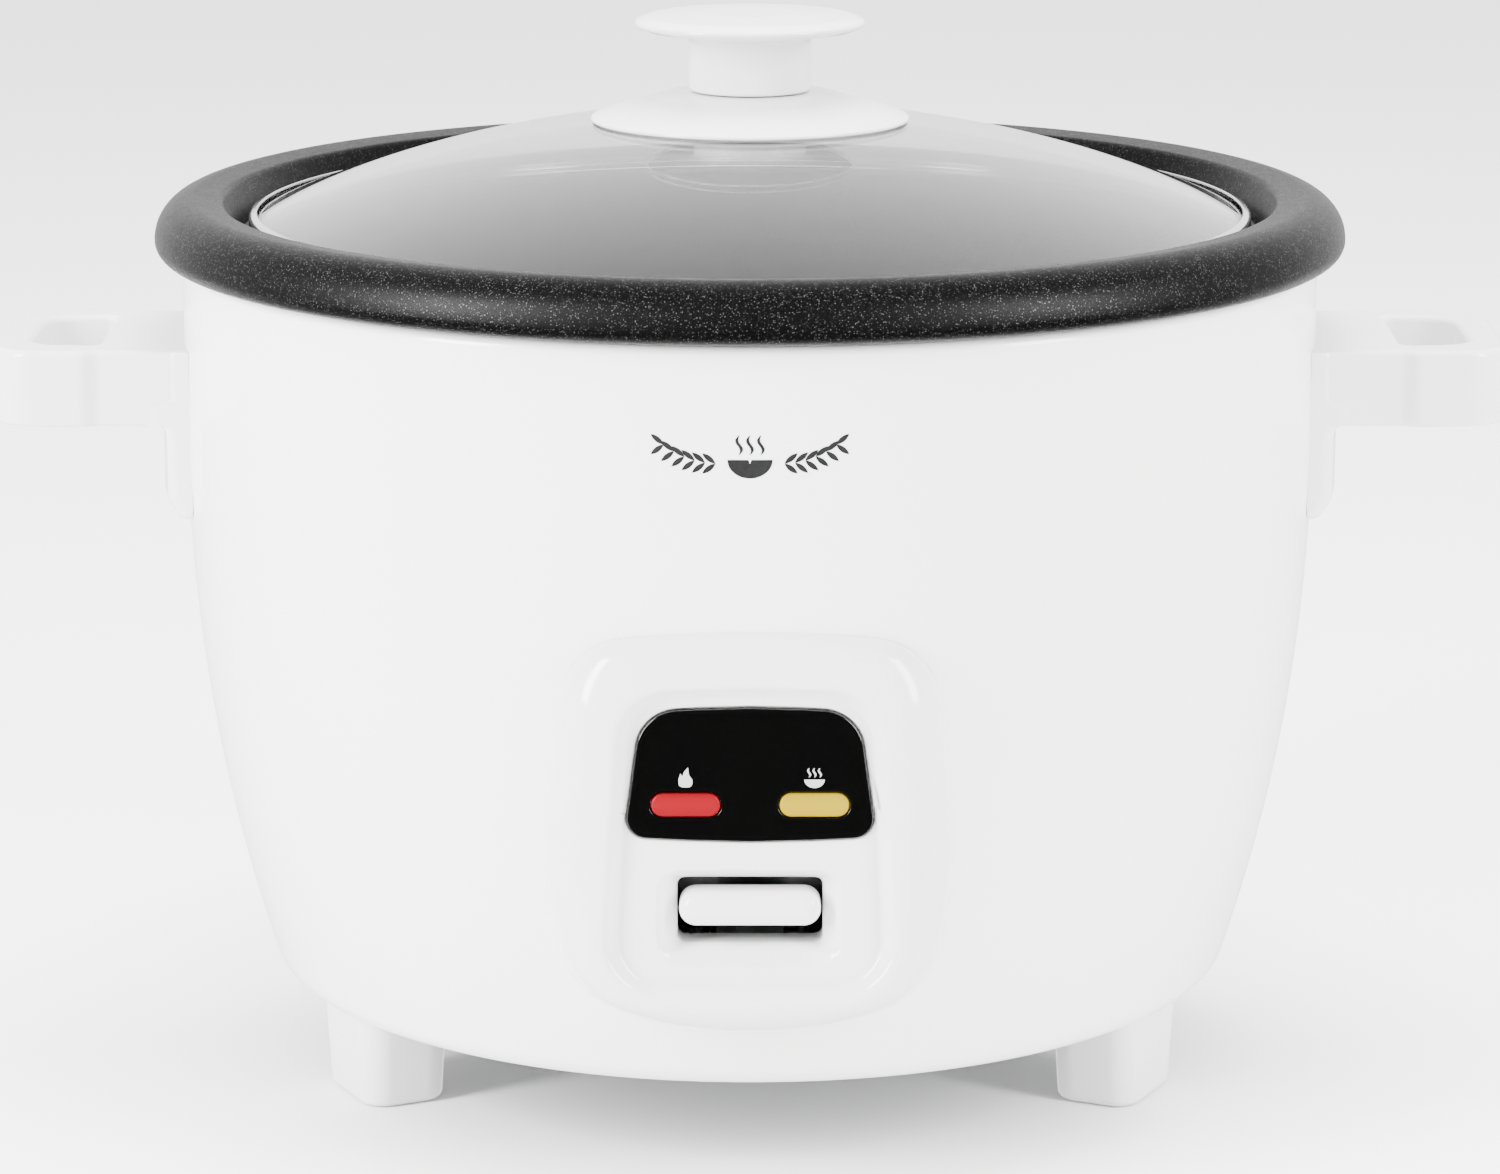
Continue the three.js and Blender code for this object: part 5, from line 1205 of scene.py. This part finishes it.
def control_bezel():
    """The moulded front: a rolled flank, a narrow crest, a sunk field, and a dished lever slot."""
    foot, crest_outer, crest_inner, field = bezel_outlines()
    field_y = front_y + FIELD_DEPTH
    surface = Surface()
    rings = []
    flank_steps = 16
    for k in range(flank_steps + 1):
        angle = math.pi / 2 * (1 - k / flank_steps)
        out_share = math.sin(angle) ** 1.15
        rise = math.cos(angle) ** 0.9 if k else 0.0
        ring = []
        for at_foot, at_crest in zip(foot, crest_outer):
            flat = at_crest.lerp(at_foot, out_share)
            foot_y = shell_y_at(at_foot.x, at_foot.y) + 0.0004
            ring.append(Vector((flat.x, foot_y + (front_y + 0.0002 - foot_y) * rise, flat.y)))
        rings.append(surface.ring(ring))

    def flat_ring(points, y):
        return surface.ring([Vector((point.x, y, point.y)) for point in points])

    rings.append(flat_ring(lerp_ring(crest_outer, crest_inner, 0.5), front_y))
    rings.append(flat_ring(crest_inner, front_y + 0.0002))
    for share in (0.12, 0.28, 0.5, 0.72, 0.88):
        depth = 0.0002 + 0.0028 * (3 * share**2 - 2 * share**3) ** 0.85
        rings.append(flat_ring(lerp_ring(crest_inner, field, share), front_y + depth))
    rings.append(flat_ring(field, field_y))
    inside_field = [point.lerp(BEZEL_CENTRE, 0.005) for point in field]
    rings.append(flat_ring(inside_field, field_y))
    surface.bridges(rings)

    seat = panel_outline(0.00025)
    seat_rings = [flat_ring(grown(seat, 0.0003), field_y),
                  flat_ring(grown(seat, 0.0001), field_y + 0.0001),
                  flat_ring(seat, field_y + 0.0003), flat_ring(seat, field_y + 0.0024)]
    surface.bridges(seat_rings)
    surface.fill(seat_rings[-1])

    slot_centre = Vector((0, (SLOT_BOTTOM + SLOT_TOP) / 2))
    recess = by_angle(rounded(mirrored([(0.0192, 0.0750, 0.0052), (0.0192, 0.0540, 0.0062)]),
                              step=math.radians(5)), slot_centre, SLOT_POINTS)
    mouth = by_angle(rounded(mirrored([(SLOT_HALF, SLOT_TOP, 0.0016), (SLOT_HALF, SLOT_BOTTOM, 0.0016)]),
                             step=math.radians(10)), slot_centre, SLOT_POINTS)
    slot_rings = [flat_ring([slot_centre.lerp(p, 1.02) for p in recess], field_y),
                  flat_ring(recess, field_y + 0.0001)]
    for share in (0.12, 0.3, 0.5, 0.7, 0.86):
        depth = 0.0044 * (share ** 1.15)
        slot_rings.append(flat_ring(lerp_ring(recess, mouth, share), field_y + 0.0001 + depth))
    slot_rings.append(flat_ring(lerp_ring(recess, mouth, 0.97), field_y + 0.0046))
    slot_rings.append(flat_ring(mouth, field_y + 0.0052))
    slot_rings.append(flat_ring(mouth, field_y + 0.0115))
    surface.bridges(slot_rings)
    surface.fill(rings[-1], seat_rings[0], slot_rings[0])
    skin = surface.make("bezel_skin", "white_plastic", facing=(0, -1, 0), sharp=50)
    wall = skin.modifiers.new("wall", "SOLIDIFY")
    wall.thickness = 0.0016
    wall.offset = -1
    even_normals(skin)
    piece = applied(skin, "front_bezel")
    stands_for(piece, "root", "white_plastic", "control_bezel")


def indicator_panel():
    """The gloss panel, with a hole for each lens."""
    near, far = low("indicator_panel").y, high("indicator_panel").y
    holes = [anticlockwise(lens_outline(middle(lens).x, 0.0002))
             for lens in ("cook_lens", "warm_lens")]
    piece = slab("panel", panel_outline(), near, far, 0.0005, "black_gloss", facing_front, holes,
                 steps=4)
    stands_for(piece, "root", "black_gloss", "indicator_panel")


def lens_outline(centre_x, spare=0.0):
    """A bar with round ends, larger all round by a spare distance."""
    half_length = (high("cook_lens").x - low("cook_lens").x) / 2 + spare
    half_height = (high("cook_lens").z - low("cook_lens").z) / 2 + spare
    z = middle("cook_lens").z
    corner = half_height * 0.98
    left, right = centre_x - half_length, centre_x + half_length
    bottom, top = z - half_height, z + half_height
    return rounded([(left, bottom, corner), (right, bottom, corner), (right, top, corner),
                    (left, top, corner)], step=math.radians(8))


def lenses():
    for lens, slot in [("cook_lens", "red_lens"), ("warm_lens", "yellow_lens")]:
        outline = lens_outline(middle(lens).x)
        near, far = low(lens).y, high(lens).y
        piece = slab(lens + "_finished", outline, near, far, 0.0006, slot, facing_front)
        stands_for(piece, "root", slot, lens)


def lever_button():
    """A bar with full round ends and a softly rounded face."""
    half = high("lever_button").x
    bottom, top = low("lever_button").z, high("lever_button").z
    outline = rounded([(-half, bottom, 0.0035), (half, bottom, 0.0035), (half, top, 0.0035),
                       (-half, top, 0.0035)], step=math.radians(6))
    piece = slab("cook_button", outline, low("lever_button").y, high("lever_button").y, 0.0028,
                 "white_plastic", facing_front, steps=10, back_rounding=0.0006)
    stands_for(piece, "lever", "white_plastic", "lever_button")


# ---- printed marks
def printed(name, loops, put, finish, thickness=0.00006):
    """Flat shapes as a thin film of ink: each loop is a list of (a, b)."""
    surface = Surface()
    for loop in loops:
        line = anticlockwise([Vector(point) for point in loop])
        back = surface.ring([put(point.x, point.y, 0.0) for point in line])
        face = surface.ring([put(point.x, point.y, thickness) for point in line])
        surface.bridge(back, face)
        surface.fill(back)
        surface.fill(face)
    return surface.make(name, finish)


def flame(centre_x, centre_z, size):
    """A flame with one tall tip that leans over and a small one beside it."""
    corners = [(0.0, -0.72, 0.5), (0.50, -0.66, 0.5), (0.56, -0.10, 0.4), (0.26, 0.28, 0.6),
               (0.20, 0.92, 0), (-0.16, 0.50, 0.5), (-0.24, 0.10, 0.06), (-0.40, 0.42, 0),
               (-0.58, -0.15, 0.6), (-0.50, -0.66, 0.5)]
    line = rounded(corners, step=math.radians(12))
    return [(centre_x + size * point.x, centre_z + size * point.y) for point in line]


def bowl(centre_x, centre_z, size):
    """Half a round bowl on a short foot."""
    line = [(centre_x - size * 0.5, centre_z), (centre_x + size * 0.5, centre_z)]
    line += [(centre_x + size * 0.5 * math.cos(a), centre_z - size * 0.42 * math.sin(a))
             for a in (math.radians(12 + 156 * k / 24) for k in range(25))]
    return line


def steam(centre_x, low_z, height, width):
    """One wavy stroke of steam."""
    left, right = [], []
    for k in range(13):
        share = k / 12
        x = centre_x + 0.12 * height * math.sin(share * math.tau)
        half = width / 2 * math.sin(math.pi * (0.08 + 0.84 * share))
        left.append((x - half, low_z + height * share))
        right.append((x + half, low_z + height * share))
    return left + right[::-1]


def panel_marks():
    """A flame over the cook lamp and a steaming bowl over the warm lamp."""
    face_y = low("indicator_panel").y

    def on_panel(x, z, lift):
        return Vector((x, face_y + MARK_LIFT - lift, z))

    z = middle("cook_lens").z + 0.0056
    cook = printed("cook_mark", [flame(middle("cook_lens").x, z, 0.0026)], on_panel, "white_ink")
    warm_x = middle("warm_lens").x
    shapes = [bowl(warm_x, z - 0.0002, 0.0042)]
    shapes += [steam(warm_x + side * 0.0011, z + 0.0003, 0.0019, 0.00045) for side in (-1, 0, 1)]
    warm = printed("warm_mark", shapes, on_panel, "white_ink")
    for mark in (cook, warm):
        stands_for(mark, "root", "black_gloss")


def grain(length, width):
    """One pointed grain, lying along +X from the origin."""
    steps = 10
    upper = [(length * k / steps, width / 2 * math.sin(math.pi * k / steps) ** 0.8)
             for k in range(1, steps)]
    lower = [(x, -y) for x, y in reversed(upper)]
    return [(0.0, 0.0), *upper, (length, 0.0), *lower]


def shell_mark():
    """A plain printed bowl between two ears of rice, wrapped on the front of the shell."""
    z = shell_top - 0.0225

    def on_shell(x, height, lift):
        radius = shell_radius_at(height) + MARK_LIFT + lift
        return Vector((radius * math.sin(x / radius), -radius * math.cos(x / radius), height))

    shapes = [bowl(0.0, z - 0.0006, 0.0092)]
    shapes += [steam(side * 0.0022, z + 0.0004, 0.0040, 0.0008) for side in (-1, 0, 1)]
    for side in (-1, 1):
        for k in range(6):
            x = 0.0070 + 0.0021 * k
            for lean in (-1, 1):
                turn = Matrix.Rotation(lean * math.radians(38), 2)
                shapes.append([
                    (side * (x + (turn @ Vector(point)).x),
                     z - 0.0014 + 0.00015 * k * k + (turn @ Vector(point)).y)
                    for point in grain(0.0034, 0.0011)])
    mark = printed("front_mark", shapes, on_shell, "dark_ink")
    stands_for(mark, "root", "white_paint")


# ---- handles
def handle_loop(side):
    """The loop in plan: a straight root, a wider round nose, and an opening for the fingers."""
    reach = high("handle_right").x
    nose = high("handle_right").y
    stem = nose - 0.0016
    plan = rounded([
        (shell_radius - 0.004, -stem, 0), (reach - 0.0240, -stem, 0.004),
        (reach - 0.0212, -nose, 0.004), (reach, -nose + 0.0015, 0.0215),
        (reach, nose - 0.0015, 0.0215), (reach - 0.0212, nose, 0.004),
        (reach - 0.0240, stem, 0.004), (shell_radius - 0.004, stem, 0)], step=math.radians(5))
    flat = reach - 0.0236
    tip = reach - 0.008
    hole = rounded([(flat, -0.019, 0.0022), (tip, -0.0178, 0.0150), (tip, 0.0178, 0.0150),
                    (flat, 0.019, 0.0022)], step=math.radians(5))
    top = high("handle_right").z
    return slab("loop", plan, top - HANDLE_LOOP, top, 0.0014, "white_plastic",
                lambda x, y, z: Vector((side * x, side * y, z)), [hole], steps=6)


def handle_pad(side):
    """The pad that lies on the shell, with a round lower end and a fillet under the loop."""
    top = high("handle_right").z
    under = top - HANDLE_LOOP
    bottom = low("handle_right").z
    outer = shell_radius + HANDLE_PAD
    inner = shell_radius + 0.0001
    section = rounded([
        (inner, bottom, 0.0006), (shell_radius + 0.0022, bottom, 0.0015),
        (outer, bottom + 0.0045, 0.0055), (outer, under + 0.0003, 0.0030),
        (outer + 0.006, under + 0.0003, 0), (outer + 0.006, under + 0.004, 0),
        (outer, under + 0.006, 0), (outer, top - 0.0003, 0.0014), (inner, top - 0.0003, 0.0003)],
        step=math.radians(7))
    half = high("handle_right").y - 0.0012

    def wrapped(x, z, y, inset):
        """A place of the section, thinner and shorter towards the pad's two edges."""
        x = inner + (x - inner) * (1 - inset / HANDLE_PAD)
        if z < under:
            z += inset * (under - z) / (under - bottom)
        sag = shell_radius - math.sqrt(shell_radius**2 - y * y)
        taper = shell_radius - shell_radius_at(z)
        near = max(0.0, 1 - (x - shell_radius) / HANDLE_PAD)
        return Vector((side * (x - sag - taper * near), side * y, z))

    surface = Surface()
    edge = 0.0022
    stroke = round_stroke(6, edge)
    levels = [(down - half, inset) for down, inset in reversed(stroke)]
    levels += [(edge - half + 2 * (half - edge) * k / 12, 0.0) for k in range(1, 12)]
    levels += [(half - down, inset) for down, inset in stroke]
    rings = [surface.ring([wrapped(point.x, point.y, y, inset) for point in section])
             for y, inset in levels]
    surface.bridges(rings)
    surface.fill(rings[0])
    surface.fill(rings[-1])
    return surface.make("pad", "white_plastic")


def handles():
    """Each loop and its pad, joined into one moulding."""
    for node, side in [("handle_right", 1), ("handle_left", -1)]:
        loop = handle_loop(side)
        loop.modifiers.clear()
        pad = handle_pad(side)
        union = loop.modifiers.new("union", "BOOLEAN")
        union.operation = "UNION"
        union.solver = "EXACT"
        union.object = pad
        whole = applied(loop, node + "_finished")
        bpy.data.objects.remove(pad)
        mesh = whole.data
        mesh.shade_smooth()
        mesh.set_sharp_from_angle(angle=math.radians(40))
        even_normals(whole)
        stands_for(whole, "root", "white_plastic", node)


# ---- feet
def feet():
    """Tapered feet with rounded corners, whose tops follow the curve of the base."""
    depth, width, corner, draft, toe = 0.0214, 0.0290, 0.0062, 0.91, 0.0016
    hole_radius = 0.0040
    for node, place in foot_places():
        direction = math.atan2(place.y, place.x)
        reach = math.hypot(place.x, place.y)
        plan = rounded([(-depth / 2, -width / 2, corner), (depth / 2, -width / 2, corner),
                        (depth / 2, width / 2, corner), (-depth / 2, width / 2, corner)],
                       step=math.radians(6))
        turn = Matrix.Rotation(direction, 2)
        surface = Surface()

        def ring(size, inset, height):
            points = []
            for point in grown([point * size for point in plan], -inset):
                flat = turn @ Vector((reach + point.x, point.y))
                top = shell_bottom - 0.0002
                past = flat.length - base_corner_radius
                if past > 0:
                    rise = BASE_CORNER - math.sqrt(max(BASE_CORNER**2 - past**2, 0))
                    top += min(rise, BASE_CORNER)
                points.append(Vector((flat.x, flat.y, height(top))))
            return surface.ring(points)

        rings = [ring(draft, toe * (1 - math.sin(angle)), lambda top, a=angle: toe * (1 - math.cos(a)))
                 for angle in (math.pi / 2 * k / 5 for k in range(6))]
        for k in range(1, 9):
            share = k / 8
            rings.append(ring(draft + (1 - draft) * share, 0.0,
                              lambda top, s=share: toe + (top - toe) * s))
        surface.bridges(rings)
        screw_node = node.replace("foot_", "foot_screw_")
        screw = middle(screw_node)
        seat_z = low(screw_node).z + 0.0028
        hole = [Vector((screw.x + hole_radius * math.cos(a), screw.y + hole_radius * math.sin(a), 0))
                for a in (math.tau * k / 40 for k in range(40))]
        mouth = surface.ring(hole)
        lip = surface.ring([Vector((p.x, p.y, 0.0004)) for p in hole])
        deep = surface.ring([Vector((p.x, p.y, seat_z)) for p in hole])
        surface.bridges([mouth, lip, deep])
        surface.fill(rings[0], mouth)
        surface.fill(deep)
        surface.fill(rings[-1])
        piece = even_normals(surface.make(node + "_finished", "white_plastic", sharp=35))
        stands_for(piece, "root", "white_plastic", node)


# ---- inlet
def power_inlet():
    """The connector housing at the back, with a blind socket round its two pins."""
    box_low, box_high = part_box("inlet_housing")
    centre_z = middle("inlet_housing").z

    def frame_outline(half_x, half_z, corner):
        return rounded([(-half_x, centre_z - half_z, corner), (half_x, centre_z - half_z, corner),
                        (half_x, centre_z + half_z, corner), (-half_x, centre_z + half_z, corner)])

    outline = frame_outline(box_high.x, (box_high.z - box_low.z) / 2, 0.003)
    socket = frame_outline(0.0125, 0.0075, 0.003)
    surface = Surface()

    def ring(points, y):
        return surface.ring([Vector((point.x, y, point.y)) for point in points])

    face = box_high.y
    shell_y = shell_radius_at(centre_z) + 0.0002
    collar = [ring(grown(outline, wider), y) for wider, y in [
        (-0.0012, box_low.y), (0, box_low.y + 0.0012), (0, shell_y), (0.0025, shell_y + 0.0001),
        (0.0025, shell_y + 0.0016), (0.0019, shell_y + 0.0022), (0, shell_y + 0.0024),
        (0, face - 0.0008), (-0.0008, face)]]
    pocket = [ring(grown(socket, wider), y) for wider, y in [
        (0.0005, face), (0, face - 0.0006), (0, face - 0.0186), (-0.0004, face - 0.019)]]
    surface.bridges(collar)
    surface.bridges(pocket)
    surface.fill(collar[0])
    surface.fill(collar[-1], pocket[0])
    surface.fill(pocket[-1])
    housing = even_normals(surface.make("inlet_finished", "black_plastic"))
    stands_for(housing, "root", "black_plastic", "inlet_housing")
    for node in ("inlet_pin_left", "inlet_pin_right"):
        pin_low, pin_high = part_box(node)
        radius = (pin_high.x - pin_low.x) / 2
        length = pin_high.y - pin_low.y
        place = Matrix.Translation((middle(node).x, pin_low.y, middle(node).z))
        axis = place @ Matrix.Rotation(-math.pi / 2, 4, "X")
        profile = rounded([(0, 0, 0), (radius, 0, 0.0003), (radius, length, 0.0019), (0, length, 0)],
                          closed=False)
        pin = turned(node + "_finished", profile, "brass", 48, axis)
        stands_for(pin, "root", "brass", node)


# ---- inside piece that follows a path
def sensor_spring():
    """The coil that holds the sensor's cap up against the pot."""
    inset = 0.0009
    radius = high("sensor_spring").x - inset
    bottom, top = low("sensor_spring").z + inset, high("sensor_spring").z - inset
    coil = coil_points(Vector((0, 0, 0)), radius, bottom, top, 5)
    spring = swept("sensor_coil", coil, 0.0008, "polished_steel", 10)
    stands_for(spring, "root", "polished_steel", "sensor_spring")


# ---- stage
def sky():
    """An even white sky that lights the floor, and is dim in front for what the gloss mirrors."""
    world = bpy.data.worlds.new("sky")
    world.use_nodes = True
    bpy.context.scene.world = world
    tree = Nodes(world.node_tree)
    rays = world.node_tree.nodes.new("ShaderNodeLightPath")
    mirrored_ray = Field(tree, rays.outputs["Is Glossy Ray"])
    towards = tree.node("ShaderNodeTexCoord", {}, {}, "Generated")
    _, back, up = tree.parts(towards)
    open_sky = (back * 0.5 + 0.5 + up.at_least(0.0) * 0.6).at_most(1.0)
    behind = ((back - 0.1) / 0.8).at_least(0.0).at_most(1.0)
    gloss = MIRRORED_FRONT + (MIRRORED_BACK - MIRRORED_FRONT) * behind
    diffuse = SKY_FRONT + (SKY_BACK - SKY_FRONT) * open_sky
    strength = mirrored_ray * gloss + (1 - mirrored_ray) * diffuse
    background = world.node_tree.nodes["Background"]
    tree.feed(background.inputs["Strength"], strength)
    background.inputs["Color"].default_value = (1, 1, 1, 1)


def studio():
    """A pale floor under a bright, even sky, with soft lamps that shape the gloss."""
    sky()
    surface = Surface()
    half = 3.0
    drop = -0.0002
    corners = surface.ring([(-half, -half, drop), (half, -half, drop), (half, half, drop),
                            (-half, half, drop)])
    surface.faces.append(tuple(corners))
    ground = Finish("studio_floor", Roughness=0.6)
    ground.set(Base_Color=ground.mix(ground.noise(3, 2), colour(0.9), colour(0.92)))
    FINISHES["studio_floor"] = ground.material
    floor = surface.make("studio_floor", "studio_floor", facing=(0, 0, 1))
    floor.visible_glossy = False
    lamp("key", (-1.15, -0.75, 0.60), 0.36, 0.95, 80)
    lamp("fill", (1.15, -0.75, 0.60), 0.36, 0.95, 48)
    lamp("top", (0.1, 0.1, 1.5), 0.8, 0.8, 70).visible_glossy = False


def lamp(name, place, width, height, watts):
    data = bpy.data.lights.new(name, "AREA")
    data.shape = "RECTANGLE"
    data.size = width
    data.size_y = height
    data.energy = watts
    light = bpy.data.objects.new(name, data)
    light.location = place
    light.rotation_euler = (Vector((0, 0, 0.1)) - Vector(place)).to_track_quat("-Z", "Y").to_euler()
    bpy.context.scene.collection.objects.link(light)
    return light


def camera():
    data = bpy.data.cameras.new("camera")
    data.lens = CAMERA_LENS
    data.sensor_width = CAMERA_SENSOR
    data.clip_start = 0.02
    eye = bpy.data.objects.new("camera", data)
    eye.location = CAMERA_PLACE
    aim = Vector(CAMERA_AIM) - eye.location
    eye.rotation_euler = aim.to_track_quat("-Z", "Y").to_euler()
    bpy.context.scene.collection.objects.link(eye)
    bpy.context.scene.camera = eye


def finish_nodes():
    """Gives the pieces that keep their first shape a finish of their slot."""
    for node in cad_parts.values():
        for slot in node.material_slots:
            slot.material = FINISHES[slot.material.name.split(".")[0]]


camera()
studio()
finish_nodes()
outer_shell()
base_plate()
feet()
foot_screws()
inner_liner()
heating_plate()
sensor_cap()
sensor_spring()
inner_pot()
lid_glass()
lid_band()
knob()
knob_skirt()
lid_fittings()
control_bezel()
indicator_panel()
lenses()
lever_button()
panel_marks()
shell_mark()
handles()
power_inlet()
